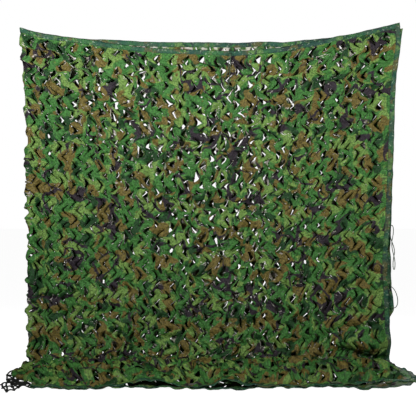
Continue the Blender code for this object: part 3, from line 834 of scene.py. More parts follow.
def lattice():
    """Row, column and way (+1 points left, -1 right) of every slit."""
    slits = []
    for k, row in enumerate(range(FIRST_ROW, ROWS - FIRST_ROW + 1, ROWS_PER_ROW)):
        way = 1 if k % 2 == 0 else -1
        offset = 0 if way == 1 else STAGGER
        turns = HALF_COLUMNS // COLUMNS_PER_PITCH + 1
        for m in range(-turns, turns + 1):
            column = COLUMNS_PER_PITCH * m + offset
            # The back layer's slits lie between those of the front layer.
            column -= BACK_SHIFT if column < 0 else 0
            if abs(column * COLUMN_STEP) < SHEET_W - SLIT_TO_SIDE:
                slits.append((row, column, way))
    return np.array(slits)


def zigzag(rows):
    """Sideways shift of the grid lines: -1/2 at the rows that point left, +1/2 at those that point right."""
    phase = np.mod(rows - FIRST_ROW, 2 * ROWS_PER_ROW)
    return np.minimum(phase, 2 * ROWS_PER_ROW - phase) / ROWS_PER_ROW - 0.5


slits = lattice()
count = len(slits)
print("slits:", count)

# %% [markdown]
# ## The grid on the cutting table
#
# Two arrays hold the flat place of every grid point, `flat_s` across and `flat_b` down. The zigzag dies out
# at the sides and ends, where the cloth has to meet its tape in a straight line.

# %% The grid of the cloth
ZIGZAG_FROM_SIDE = (0.025, 0.065)
ZIGZAG_FROM_END = (0.02, 0.05)
ON_FLOOR = (BEND_DROP - 0.10, FOOT_DROP + 0.05)

grid_rows, grid_columns = np.arange(ROWS + 1), np.arange(-HALF_COLUMNS, HALF_COLUMNS + 1)
rows, columns = np.meshgrid(grid_rows, grid_columns, indexing="ij")
flat_b = rows * ROW_STEP
to_side = SHEET_W - np.abs(columns * COLUMN_STEP)
to_end = np.minimum(flat_b, SHEET_L - flat_b)
swing = zigzag(rows) * ZIGZAG * blend(to_side, *ZIGZAG_FROM_SIDE) * blend(to_end, *ZIGZAG_FROM_END)
flat_s = np.clip(columns * COLUMN_STEP + swing, -SHEET_W, SHEET_W)

x_here, drop_here = across_and_drop("front", flat_s, flat_b)
on_floor = blend(drop_here, *ON_FLOOR)
print("grid points:", flat_s.size)

# %% [markdown]
# ## Where the slits stand open
#
# The net was pulled open in some places and not in others: in the middle and near the top its holes let
# light through both layers, while the sides and the foot are nearly closed. A random field could do this,
# but the open places are a main feature of this net, so they are soft round patches listed one by one. Each
# says how far the front layer is open, and how far the back layer is.

# %% Open patches
OPEN_PATCHES = (
    {"x": 0.00, "drop": 1.06, "half_width": 0.32, "half_height": 0.30, "front": 0.92, "back": 0.72},
    {"x": 0.27, "drop": 0.42, "half_width": 0.20, "half_height": 0.30, "front": 0.95, "back": 0.85},
    {"x": -0.48, "drop": 0.36, "half_width": 0.38, "half_height": 0.26, "front": 0.90, "back": 0.74},
    {"x": -0.42, "drop": 0.10, "half_width": 0.22, "half_height": 0.10, "front": 0.90, "back": 0.80},
    {"x": 0.10, "drop": 0.12, "half_width": 0.30, "half_height": 0.12, "front": 0.75, "back": 0.65},
    {"x": 0.02, "drop": 0.65, "half_width": 0.40, "half_height": 0.35, "front": 0.80, "back": 0.45},
    {"x": -0.30, "drop": 0.66, "half_width": 0.26, "half_height": 0.26, "front": 0.75, "back": 0.35},
    {"x": -0.80, "drop": 0.14, "half_width": 0.30, "half_height": 0.20, "front": 0.75, "back": 0.20},
    {"x": 0.72, "drop": 0.25, "half_width": 0.34, "half_height": 0.34, "front": 0.82, "back": 0.40},
    {"x": 0.97, "drop": 0.00, "half_width": 0.14, "half_height": 0.12, "front": 0.95, "back": 0.80},
    {"x": 0.30, "drop": 1.30, "half_width": 0.20, "half_height": 0.16, "front": 0.70, "back": 0.45},
    {"x": 0.20, "drop": 1.52, "half_width": 0.42, "half_height": 0.26, "front": 0.65, "back": 0.10},
    {"x": -0.55, "drop": 1.60, "half_width": 0.45, "half_height": 0.20, "front": 0.50, "back": 0.00},
    {"x": 0.00, "drop": 2.05, "half_width": 1.20, "half_height": 0.22, "front": 0.75, "back": 0.00},
)
LEAST_OPEN = {"front": 0.15, "back": 0.02}
FOLD_TEETH = 0.9
FOLD_TEETH_REACH = 0.05


def openness(layer):
    """How far a layer's slits stand open, from 0 to 1, over the grid. The teeth along the fold are open."""
    closed = 1 - LEAST_OPEN[layer]
    for patch in OPEN_PATCHES:
        sideways = (x_here - patch["x"]) / patch["half_width"]
        down = (drop_here - patch["drop"]) / patch["half_height"]
        closed = closed * (1 - patch[layer] * np.exp(-(sideways**2) - down**2))
    return np.maximum(1 - closed, FOLD_TEETH * np.exp(-((flat_s / FOLD_TEETH_REACH) ** 2)))


open_here = np.where(columns < 0, openness("back"), openness("front"))
print("mean openness:", round(float(open_here.mean()), 2))

# %% [markdown]
# ## How each slit opens
#
# Pulling the cloth open does three things near a slit: its lips part, the ribbons beside it bow and tilt,
# and the leaf that the chevron frees curls up about its root. No two slits do it alike, so each draws its
# own amounts from one seeded generator. Slits differ in length too, and the leaves of the wide-open ones
# are the shortest. About one leaf in nine turns over and shows the pale reverse, most often near the top
# right corner.

# %% Amounts for each slit
# A SPREAD holds the limits of a random amount. The other lists start with the least amount, then say how
# much is added where the slit is wide open, and how much on the floor.
WIDE_SPREAD = (0.25, 1.55)
WIDEST = 1.15
BACK_SHYER = 0.22
SHORT_FROM = 0.38
SHORT_SPREAD = (-0.15, 0.15)
FRONT_PART = (0.0042, 0.0155)
BACK_PART = (0.0010, 0.0165)
BOW = (0.0080, 0.0080, 0.005)
BOW_SPREAD = (0.1, 1.4)
LIP = (0.0055, 0.0020)
CURL_LEAST = 0.20
CURL_LEAST_SPREAD = (0.0, 0.9)
CURL = (0.0, 2.3, 0.9)
CURL_SPREAD = (0.2, 1.2)
TURNED = (0.03, 0.24)
TURNED_AT_CORNER = 0.12
TURNED_CORNER = {"x": 0.92, "drop": 0.35, "half_width": 0.16, "half_height": 0.30}
TURNED_CURL_SPREAD = (1.9, 2.8)
OUTWARD_SHARE = 0.70
LEAN_SPREAD = (-0.5, 0.5)
LEAN_WHEN_WIDE = 0.8
SLIT_SEED = 41

random = np.random.default_rng(SLIT_SEED)
slit_row, slit_column, way = slits[:, 0], slits[:, 1] + HALF_COLUMNS, slits[:, 2]
on_back = slits[:, 1] < 0
floor_here = on_floor[slit_row, slit_column]


def drawn(low, high):
    """A random amount for each slit."""
    return random.uniform(low, high, count)


def growing(least, with_width, with_floor=0.0):
    """An amount that grows with a slit's opening, and on the floor."""
    return least + with_width * wide + with_floor * floor_here


wide = np.minimum(open_here[slit_row, slit_column] * drawn(*WIDE_SPREAD), WIDEST)
wide = np.where(on_back, np.maximum(wide - BACK_SHYER, 0), wide)
half = np.where(wide + drawn(*SHORT_SPREAD) > SHORT_FROM, SLIT_HALF - 1, SLIT_HALF)
part = np.where(on_back, growing(*BACK_PART), growing(*FRONT_PART))
bow = {side: growing(*BOW) * drawn(*BOW_SPREAD) for side in (-1, 1)}
lip = growing(*LIP)
curl = CURL_LEAST + drawn(*CURL_LEAST_SPREAD) + growing(*CURL) * drawn(*CURL_SPREAD)
from_corner = ((x_here - TURNED_CORNER["x"]) / TURNED_CORNER["half_width"]) ** 2
from_corner = -from_corner - ((drop_here - TURNED_CORNER["drop"]) / TURNED_CORNER["half_height"]) ** 2
at_corner = np.exp(from_corner)[slit_row, slit_column]
turned = drawn(0.0, 1.0) < growing(*TURNED) + TURNED_AT_CORNER * at_corner
curl = np.where(turned, drawn(*TURNED_CURL_SPREAD), curl)
outwards = np.where(drawn(0.0, 1.0) < OUTWARD_SHARE, 1.0, -1.0)
lean = drawn(*LEAN_SPREAD) * (1 + LEAN_WHEN_WIDE * wide)
print("leaves turned over:", int(turned.sum()))

# %% [markdown]
# ## Opening the slits
#
# Each of the three moves is a small shift of the grid points near a slit, strongest at its middle and gone
# at its tips. `shifts` adds up the shifts of all slits in three numbers a point: across, down and outwards.
# A curled leaf keeps its length, because its points move along a circle about its root.

# %% Shifts round the slits
REACH_COLUMNS = 4
TIP_SHARPNESS = 3.2
LEAF_SLIP = 0.25


def leaf_curl(from_root):
    """How far a leaf's points draw back and rise as it curls."""
    leaf_length = LEAF_COLUMNS * COLUMN_STEP
    angle = curl * from_root / leaf_length
    radius = leaf_length / curl
    return from_root - radius * np.sin(angle), radius * (1 - np.cos(angle))


def shifts():
    """Shifts (across, down, outwards) of the grid's points and of the right lips' own points."""
    shape = (*rows.shape, 3)
    left, right = np.zeros(shape), np.zeros(shape)
    for down in range(-SLIT_HALF, SLIT_HALF + 1):
        to_tip = np.minimum(abs(down) / half, 1)
        profile = (1 - to_tip**TIP_SHARPNESS) * (1 + lean * down / half)
        leaf_root = LEAF_COLUMNS * (1 - to_tip)
        for aside in range(-REACH_COLUMNS, REACH_COLUMNS + 1):
            r, c = slit_row + down, np.clip(slit_column + aside, 0, rows.shape[1] - 1)
            fade = 1 - abs(aside) / REACH_COLUMNS
            arch = sin(pi * (abs(aside) + 0.5) / (REACH_COLUMNS + 0.5))
            drawn_back, raised = leaf_curl(np.maximum(leaf_root - abs(aside), 0.0) * COLUMN_STEP)
            for side in (-1, 1):
                if aside * side < 0:
                    continue
                on_leaf = way == side
                shift = np.zeros((count, 3))
                shift[:, 0] = side * (part / 2 * profile * fade + on_leaf * drawn_back)
                shift[:, 1] = on_leaf * LEAF_SLIP * raised * lean
                shift[:, 2] = bow[side] * arch * profile - ~on_leaf * lip * fade**3 * profile
                shift[:, 2] += on_leaf * outwards * raised
                target = right if side == 1 and aside == 0 else left
                np.add.at(target, (r, c), shift)
    return left, right


left_shift, right_shift = shifts()
largest_out = float(left_shift[..., 2].max())
print("largest outward shift, before it is limited:", round(largest_out * 1000), "mm")

# %% [markdown]
# ## Loosening the pattern
#
# Rows of equal chevrons look like a machine's drawing. On the real net the cloth between them has slipped
# and crumpled, most of all where it is pulled open. Smooth random values, in lumps of 4 to 13 centimetres,
# move the grid across, down and outwards. A noise made on the grid itself is quick and has its size in
# metres.

# %% Loosening
WANDER_ACROSS = (
    {"seed": 1, "size": 0.130, "least": 0.003, "more": 0.014},
    {"seed": 2, "size": 0.040, "least": 0.0015, "more": 0.0185},
)
WANDER_DOWN = (
    {"seed": 3, "size": 0.120, "least": 0.003, "more": 0.014},
    {"seed": 4, "size": 0.038, "least": 0.0015, "more": 0.0195},
)
RELIEF = {"seed": 5, "size": 0.037, "least": 0.0045, "open": 0.0095, "floor": 0.022}
SWELLS = {"seed": 6, "size": 0.09, "height": 0.005}
LOOSE_FROM_SIDE = (0.03, 0.09)
LOOSE_FROM_END = (0.03, 0.07)


def soft_noise(seed, size):
    """Smooth random values from -1 to 1 over the grid, with lumps of a given size in metres."""
    down, across = flat_b / size, (flat_s + SHEET_W) / size
    lumps = np.random.default_rng(seed).uniform(-1, 1, (int(down.max()) + 2, int(across.max()) + 2))
    r, c = down.astype(int), across.astype(int)
    v = (down - r) ** 2 * (3 - 2 * (down - r))
    u = (across - c) ** 2 * (3 - 2 * (across - c))
    upper = lumps[r, c] * (1 - u) + lumps[r, c + 1] * u
    lower = lumps[r + 1, c] * (1 - u) + lumps[r + 1, c + 1] * u
    return upper * (1 - v) + lower * v


def wander(lumps):
    """A shift of the grid points, larger where the net is open."""
    return sum((k["least"] + k["more"] * open_here) * soft_noise(k["seed"], k["size"]) for k in lumps)


relief = RELIEF["least"] + RELIEF["open"] * open_here * (1 - on_floor)
relief = relief + RELIEF["floor"] * on_floor * off_corners(x_here)
out = relief * soft_noise(RELIEF["seed"], RELIEF["size"])
out = out + SWELLS["height"] * soft_noise(SWELLS["seed"], SWELLS["size"])
inside_edges = blend(to_side, *LOOSE_FROM_SIDE) * blend(to_end, *LOOSE_FROM_END)
loose = np.stack([wander(WANDER_ACROSS), wander(WANDER_DOWN), out], axis=-1) * inside_edges[..., None]
print("furthest a point wanders:", round(float(np.abs(loose[..., :2]).max()) * 1000), "mm")

# %% [markdown]
# ## Draping the opened cloth
#
# The shifted flat places go through `drape`, and the outward shift follows its normal. It is held back
# softly at a limit on each side: inside the folded net there is less room than outside, and the layers
# mustn't meet.

# %% Places of the opened cloth
MAX_INWARD = 0.0070
MAX_OUTWARD = 0.024


def opened_places(shift):
    """Draped points of the opened cloth."""
    point, normal = drape(flat_s + shift[..., 0], flat_b + shift[..., 1])
    out = shift[..., 2]
    inward = -MAX_INWARD * np.tanh(-out / MAX_INWARD)
    out = np.where(out < 0, inward, MAX_OUTWARD * np.tanh(out / MAX_OUTWARD))
    return above_floor(point + normal * out[..., None])


left_place, right_place = opened_places(left_shift + loose), opened_places(right_shift + loose)
on_slit = np.zeros(rows.shape, bool)
for down in range(1 - SLIT_HALF, SLIT_HALF):
    cut = abs(down) < half
    on_slit[slit_row[cut] + down, slit_column[cut]] = True
print("grid points on slits:", int(on_slit.sum()))

# %% [markdown]
# ## Cutting the cloth into pieces
#
# The real cloth is one sheet. Here it is three pieces that meet on grid lines: front layer, back layer and
# foot. One piece would pass the number of triangles at which its printable mesh is thinned, and the hanging
# layers and the lying foot are also named apart in the part's list of sheets.

# %% Pieces of the cloth


def cloth_piece(name, first_row, last_row, first_column, last_column):
    """One piece of the cloth between two rows and two columns of the grid."""
    r, c = np.arange(first_row, last_row + 1), np.arange(first_column, last_column + 1) + HALF_COLUMNS
    inside = np.ix_(r, c)
    flats = np.stack([flat_s[inside], flat_b[inside]], axis=-1)
    cut = on_slit[inside]
    number = np.arange(cut.size).reshape(cut.shape)
    right_number = number.copy()
    right_number[cut] = cut.size + np.arange(cut.sum())
    points = np.concatenate([left_place[inside].reshape(-1, 3), right_place[inside][cut]])
    flats = np.concatenate([flats.reshape(-1, 2), flats[cut]])
    corners = [right_number[:-1, :-1], right_number[1:, :-1], number[1:, 1:], number[:-1, 1:]]
    quads = np.stack(corners, axis=-1).reshape(-1, 4)
    chart = (flats - flats.min(axis=0)) / np.ptp(flats, axis=0)
    mesh = thick_mesh(name, points, quads, flats, chart[quads], CLOTH_THIN)
    print(name, "triangles:", 2 * len(mesh.polygons))
    return place_piece(name, mesh, printed, reverse)


net_front = cloth_piece("net_front", 0, FOOT_ROW, FOLD_COLUMN, HALF_COLUMNS)
net_back = cloth_piece("net_back", 0, FOOT_ROW, -HALF_COLUMNS, FOLD_COLUMN)
net_foot = cloth_piece("net_foot", FOOT_ROW, ROWS, -HALF_COLUMNS, HALF_COLUMNS)

# %% [markdown]
# ## The sewn tape
#
# The raw edge is bound with a tape of the same cloth, folded over it. In the model it is a strip that runs
# down the outer face, round the edge and back up the inner face, made on the same drape as the cloth that
# it holds. A curve with a flat profile would be shorter to write, but it wouldn't follow the puckered cloth
# on both faces.

# %% The four bound edges
TAPE_STEP = 0.008

whole_width = np.linspace(-SHEET_W, SHEET_W, round(2 * SHEET_W / TAPE_STEP) + 1)
whole_length = np.linspace(SHEET_L, 0.0, round(SHEET_L / TAPE_STEP) + 1)


def in_from_top(t, depth):
    return t, np.full_like(t, depth)


def in_from_foot(t, depth):
    return t, np.full_like(t, SHEET_L - depth)


def in_from_front_side(t, depth):
    return np.full_like(t, SHEET_W - depth), t


def in_from_back_side(t, depth):
    return np.full_like(t, depth - SHEET_W), t


# Each edge has its stations, the flat place of a station at a depth in from the edge, whether the tape is
# laid the other way so that its faces point out, and the node that the tape replaces.
EDGES = {
    "top": {"line": whole_width, "place": in_from_top, "turned": False, "node": "binding_top"},
    "foot": {"line": whole_width, "place": in_from_foot, "turned": True, "node": "binding_foot"},
    "side_front": {
        "line": whole_length, "place": in_from_front_side, "turned": True, "node": "binding_side_front",
    },
    "side_back": {
        "line": whole_length, "place": in_from_back_side, "turned": False, "node": "binding_side_back",
    },
}
print("stations across and down:", len(whole_width), len(whole_length))

# %% Sizes of the tape
TAPE_THIN = 0.0007
TAPE_OFF = 0.0017
TAPE_LAPS = (1.0, 0.8, 0.55, 0.3, 0.1)
PUCKER = {"height": 0.0004, "length": 0.019, "turn_with_depth": 40}
PAST_EDGE = 0.0012
EDGE_LOOK_IN = 0.01
MAP_STRIPS = 8
STRIP_MARGIN = 0.05
print("tape's face off the middle of the cloth:", round((TAPE_OFF + TAPE_THIN / 2) * 1000, 2), "mm")

# %% Lines of the tape


def taped_face(stations, place_at, depth, side):
    """Points and flat places of one line of the tape on the outer (1) or inner (-1) face."""
    s, b = place_at(stations, depth)
    point, normal = drape(s, b)
    turn = 2 * pi * (s + b) / PUCKER["length"] + PUCKER["turn_with_depth"] * depth
    off = side * (TAPE_OFF + PUCKER["height"] * np.sin(turn))
    return above_floor(point + normal * off[..., None]), np.stack([s, b], axis=-1)


def taped_edge(stations, place_at):
    """Points and flat places of the tape's fold, just past the cloth's edge."""
    s, b = place_at(stations, 0.0)
    edge, _ = drape(s, b)
    further, _ = drape(*place_at(stations, EDGE_LOOK_IN))
    return above_floor(edge + unit(edge - further) * PAST_EDGE), np.stack([s, b], axis=-1)


def strip_chart(quads, station_count, section_count):
    """Texture map of a long tape, charted as a stack of shorter strips."""
    per_strip = -(-(station_count - 1) // MAP_STRIPS)
    station, section = quads // section_count, quads % section_count
    strip = station[:, :1] // per_strip
    across = (station - strip * per_strip) / per_strip
    up = (strip + STRIP_MARGIN + (1 - 2 * STRIP_MARGIN) * section / (section_count - 1)) / MAP_STRIPS
    return np.stack([across, up], axis=-1)

# %% Make the tapes


def tape_piece(name, stations, place_at):
    """A folded tape: down the outer face, round the edge and up the inner face."""
    laps = np.array(TAPE_LAPS) * BAND_W
    sections = [taped_face(stations, place_at, depth, 1) for depth in laps]
    sections.append(taped_edge(stations, place_at))
    sections += [taped_face(stations, place_at, depth, -1) for depth in laps[::-1]]
    points = np.stack([point for point, _ in sections], axis=1)
    flats = np.stack([flat for _, flat in sections], axis=1)
    station_count, section_count = points.shape[:2]
    number = np.arange(station_count * section_count).reshape(station_count, section_count)
    corners = [number[:-1, :-1], number[1:, :-1], number[1:, 1:], number[:-1, 1:]]
    quads = np.stack(corners, axis=-1).reshape(-1, 4)
    chart = strip_chart(quads, station_count, section_count)
    mesh = thick_mesh(name, points.reshape(-1, 3), quads, flats.reshape(-1, 2), chart, TAPE_THIN)
    print(name, "triangles:", 2 * len(mesh.polygons))
    return place_piece(name, mesh, taped, taped)


tapes = {}
for edge, how in EDGES.items():
    stations = how["line"][::-1] if how["turned"] else how["line"]
    tapes[edge] = tape_piece("tape_" + edge, stations, how["place"])

# %% [markdown]
# ## Nodes for what repeats
#
# Stitches and mesh knots are one small shape set many times along a line. Geometry Nodes do that: each tree
# below takes the line as a mesh of edges, sets the shape along it, realizes the instances and gives them
# their finish. The result is then made a plain mesh.

# %% Geometry node helpers


def new_tree(name, **inputs):
    """A geometry tree with a Geometry input and output and more inputs, given as (socket type, default)."""
    tree = bpy.data.node_groups.new(name, "GeometryNodeTree")
    tree.interface.new_socket("Geometry", in_out="INPUT", socket_type="NodeSocketGeometry")
    tree.interface.new_socket("Geometry", in_out="OUTPUT", socket_type="NodeSocketGeometry")
    identifiers = {}
    for label, (kind, default) in inputs.items():
        socket = tree.interface.new_socket(label, in_out="INPUT", socket_type=kind)
        if default is not None:
            socket.default_value = default
        identifiers[label] = socket.identifier
    return tree, tree.nodes.new("NodeGroupInput").outputs, identifiers


def add_node(tree, kind, settings=(), **sockets):
    """Adds a node. A socket takes an output to link or a value."""
    node = tree.nodes.new(kind)
    for name, value in dict(settings).items():
        setattr(node, name, value)
    for name, value in sockets.items():
        socket = node.inputs[name.replace("_", " ")]
        if isinstance(value, bpy.types.NodeSocket):
            tree.links.new(value, socket)
        else:
            socket.default_value = value
    return node


def end_tree(tree, geometry, finish):
    """The last nodes of a tree: its finish and its output."""
    painted = add_node(tree, "GeometryNodeSetMaterial", Geometry=geometry, Material=finish)
    tree.links.new(painted.outputs[0], tree.nodes.new("NodeGroupOutput").inputs["Geometry"])

# %% Lines in, plain meshes out


def line_object(name, lines):
    """A mesh of edges only, one chain of edges for each line of points."""
    points = [tuple(map(float, p)) for line in lines for p in line]
    edges, first = [], 0
    for line in lines:
        edges += [(first + k, first + k + 1) for k in range(len(line) - 1)]
        first += len(line)
    mesh = bpy.data.meshes.new(name)
    mesh.from_pydata(points, edges, [])
    return place_piece(name, mesh)


def realized(piece, tree, finish, **values):
    """Runs a tree on a piece and keeps the result as a plain mesh."""
    tree, identifiers = tree
    modifier = piece.modifiers.new(tree.name, "NODES")
    modifier.node_group = tree
    modifier[identifiers["Finish"]] = finish
    for label, value in values.items():
        modifier[identifiers[label]] = value
    made = bpy.data.meshes.new_from_object(piece.evaluated_get(bpy.context.evaluated_depsgraph_get()))
    piece.modifiers.clear()
    piece.data = made
    piece.data.name = piece.name
    made.shade_smooth()
    if not made.materials:
        made.materials.append(finish)
    print(piece.name, "faces:", len(made.polygons))
    return piece

# %% [markdown]
# ## Stitches
#
# One row of lock stitches holds each tape near its inner edge and shows on both faces. A stitch is a small
# box: at this size nothing rounder would show, and there are over three thousand of them. The tree spaces
# them along the line and turns each one to follow it.

# %% Stitch the tapes
STITCH_PITCH = 0.008
STITCH_SIZE = (0.0055, 0.0010, 0.0006)
STITCH_DEPTH = 0.86 * BAND_W
STITCH_LIFT = 0.0002
STITCH_OFF = TAPE_OFF + TAPE_THIN / 2 + STITCH_LIFT
THREAD_GREEN = (0.020, 0.055, 0.030, 1)


def stitch_tree():
    tree, given, identifiers = new_tree(
        "stitch_row",
        Pitch=("NodeSocketFloat", STITCH_PITCH),
        Stitch=("NodeSocketVector", STITCH_SIZE),
        Finish=("NodeSocketMaterial", None),
    )
    curve = add_node(tree, "GeometryNodeMeshToCurve", Mesh=given["Geometry"]).outputs[0]
    by_length = {"mode": "LENGTH"}
    spaced = add_node(tree, "GeometryNodeResampleCurve", by_length, Curve=curve, Length=given["Pitch"])
    shape = add_node(tree, "GeometryNodeMeshCube", Size=given["Stitch"])
    tangent = add_node(tree, "GeometryNodeInputTangent").outputs[0]
    turn = add_node(tree, "FunctionNodeAlignRotationToVector", {"axis": "X"}, Vector=tangent)
    placed = add_node(
        tree,
        "GeometryNodeInstanceOnPoints",
        Points=spaced.outputs[0],
        Instance=shape.outputs["Mesh"],
        Rotation=turn.outputs[0],
    )
    real = add_node(tree, "GeometryNodeRealizeInstances", Geometry=placed.outputs[0])
    end_tree(tree, real.outputs[0], given["Finish"])
    return tree, identifiers


thread, thread_shader, _ = new_finish("thread", roughness=0.6)
thread_shader.inputs["Base Color"].default_value = THREAD_GREEN
stitching = stitch_tree()
stitches = {}
for edge, how in EDGES.items():
    point, normal = drape(*how["place"](how["line"], STITCH_DEPTH))
    lines = [above_floor(point + normal * side * STITCH_OFF) for side in (1, -1)]
    stitches[edge] = realized(line_object("stitch_" + edge, lines), stitching, thread)

# %% [markdown]
# ## Ties
#
# Three thin cords are sewn to the tape, each at both of its ends, and hang in a loop. A route is a list of
# points: `x`, the way out in front of the band, and the height. The cord is a smooth curve through them.

# %% Tie routes
TIE_ROUTES = {
    "tie_top": {
        "side": 1,
        "route": (
            (0.124, 0.0020, -0.0620), (0.124, 0.0100, -0.0625), (0.1238, 0.0165, -0.0690),
            (0.1232, 0.0180, -0.0850), (0.1222, 0.0170, -0.1120), (0.1205, 0.0165, -0.1400),
            (0.1190, 0.0170, -0.1700), (0.1172, 0.0180, -0.2000), (0.1140, 0.0190, -0.2280),
            (0.1060, 0.0195, -0.2480), (0.0950, 0.0195, -0.2560), (0.0845, 0.0195, -0.2490),
            (0.0840, 0.0200, -0.2340), (0.0920, 0.0210, -0.2120), (0.1020, 0.0215, -0.1850),
            (0.1090, 0.0215, -0.1560), (0.1125, 0.0210, -0.1250), (0.1145, 0.0205, -0.0950),
            (0.1150, 0.0180, -0.0730), (0.1152, 0.0105, -0.0655), (0.1152, 0.0020, -0.0650),
        ),
    },
    "tie_side": {
        "side": -1,
        "route": (
            (0.9930, 0.0020, -1.0040), (0.9945, 0.0105, -1.0038), (1.0010, 0.0165, -1.0035),
            (1.0085, 0.0180, -1.0075), (1.0125, 0.0185, -1.0220), (1.0118, 0.0195, -1.0470),
            (1.0078, 0.0205, -1.0730), (1.0035, 0.0215, -1.0960), (1.0042, 0.0212, -1.1200),
            (1.0085, 0.0208, -1.1460), (1.0165, 0.0205, -1.1780), (1.0212, 0.0200, -1.2080),
            (1.0205, 0.0195, -1.2350), (1.0165, 0.0190, -1.2480), (1.0118, 0.0185, -1.2360),
            (1.0112, 0.0172, -1.2110), (1.0152, 0.0150, -1.1790), (1.0200, 0.0148, -1.1530),
            (1.0160, 0.0148, -1.1240), (1.0062, 0.0148, -1.0960), (0.9995, 0.0142, -1.0740),
            (0.9965, 0.0142, -1.0500), (0.9940, 0.0135, -1.0340), (0.9900, 0.0095, -1.0262),
            (0.9885, 0.0020, -1.0260),
        ),
    },
    "tie_corner": {
        "side": -1,
        "route": (
            (1.0000, 0.0020, -1.3370), (1.0010, 0.0105, -1.3378), (1.0065, 0.0165, -1.3425),
            (1.0165, 0.0180, -1.3530), (1.0270, 0.0185, -1.3700), (1.0350, 0.0185, -1.3930),
            (1.0385, 0.0185, -1.4170), (1.0360, 0.0185, -1.4390), (1.0280, 0.0180, -1.4530),
            (1.0160, 0.0165, -1.4580), (1.0075, 0.0105, -1.4580), (1.0070, 0.0020, -1.4580),
        ),
    },
}
for name, tie in TIE_ROUTES.items():
    print(name, "points:", len(tie["route"]))

# %% [markdown]
# ## Making the ties
#
# A tie is a round cord, so a curve with a round bevel is the plainest way to make it. Its ends have to
# touch the tape, which isn't flat. `on_layer` looks up where the cloth is at each end of the route. The
# tape's face lies a fixed way in front of the cloth, and the whole route is shifted to stand off from it.

# %% Routes to curves
ROUTE_STEPS = 12
POINTS_APART = 1.5 * TIE_D
SEARCH_STEPS = 20


def on_layer(side, x, height):
    """The draped point of the front (1) or back (-1) layer with this x and height."""
    s, b = side * (x + SHEET_W / 2), -height
    for _ in range(SEARCH_STEPS):
        point = drape(np.array([s]), np.array([b]))[0][0]
        s, b = s + side * (x - point[0]), b + point[2] - height
    return point


def smooth_route(points):
    """Evenly spaced points on a smooth curve through a route, and the curve's length."""
    ends = np.concatenate([[2 * points[0] - points[1]], points, [2 * points[-1] - points[-2]]])
    fine = []
    for a, b, c, d in zip(ends, ends[1:], ends[2:], ends[3:]):
        for t in np.arange(ROUTE_STEPS) / ROUTE_STEPS:
            square, cube = (2 * a - 5 * b + 4 * c - d), (3 * b - a - 3 * c + d)
            fine.append(0.5 * (2 * b + (c - a) * t + square * t**2 + cube * t**3))
    fine = np.array([*fine, points[-1]])
    travelled = np.concatenate([[0], np.cumsum(np.linalg.norm(np.diff(fine, axis=0), axis=1))])
    even = np.linspace(0, travelled[-1], round(travelled[-1] / POINTS_APART) + 1)
    return np.stack([np.interp(even, travelled, fine[:, k]) for k in range(3)], axis=1), travelled[-1]


def cord_curve(name, centre):
    """A round cord along a line of points."""
    curve = bpy.data.curves.new(name, "CURVE")
    curve.dimensions = "3D"
    curve.bevel_depth = TIE_D / 2
    curve.bevel_resolution = 3
    curve.use_fill_caps = True
    spline = curve.splines.new("POLY")
    spline.points.add(len(centre) - 1)
    for target, p in zip(spline.points, centre):
        target.co = (*map(float, p), 1)
    return curve

# %% Finish of the ties
CORD_DARK = (0.028, 0.048, 0.028, 1)
CORD_LIGHT = (0.085, 0.120, 0.075, 1)
TWIST_SCALE = 90.0

cord_finish, cord_shader, start = new_finish("tie_cord", roughness=0.65)
cord_place = start.add("ShaderNodeTexCoord", {}, {}, output=3)
wave = {"Vector": cord_place, "Scale": TWIST_SCALE}
twist = cord_place.add("ShaderNodeTexWave", {"bands_direction": "DIAGONAL"}, wave, output=1)
cord_colour = start.colour(CORD_DARK).mixed(twist, CORD_LIGHT)
finish_with(cord_shader, cord_colour, twist, distance=0.0006)
print("tie finish:", cord_finish.name)

# %% Make the ties
for name, tie in TIE_ROUTES.items():
    route = np.array(tie["route"])
    face = TAPE_OFF + TAPE_THIN / 2
    start_y = on_layer(tie["side"], route[0, 0], route[0, 2])[1] - face
    end_y = on_layer(tie["side"], route[-1, 0], route[-1, 2])[1] - face
    face_y = np.linspace(start_y, end_y, len(route))
    out = route[:, 1].copy()
    out[[0, -1]] = 0.0
    centre, length = smooth_route(np.stack([route[:, 0], face_y - out, route[:, 2]], axis=1))
    piece = place_piece(name + "_cord", cord_curve(name, centre), cord_finish)
    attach(piece, "root")
    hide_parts(name)
    print(name, "length", round(float(length), 4))

# %% [markdown]
# ## The mesh behind the cloth
#
# At the front left corner the black knotted mesh that backs the cloth lies bare on the floor. A regular
# grid would look wrong there, because the mesh has been pulled about, so its knots are listed one by one and
# joined in cells.

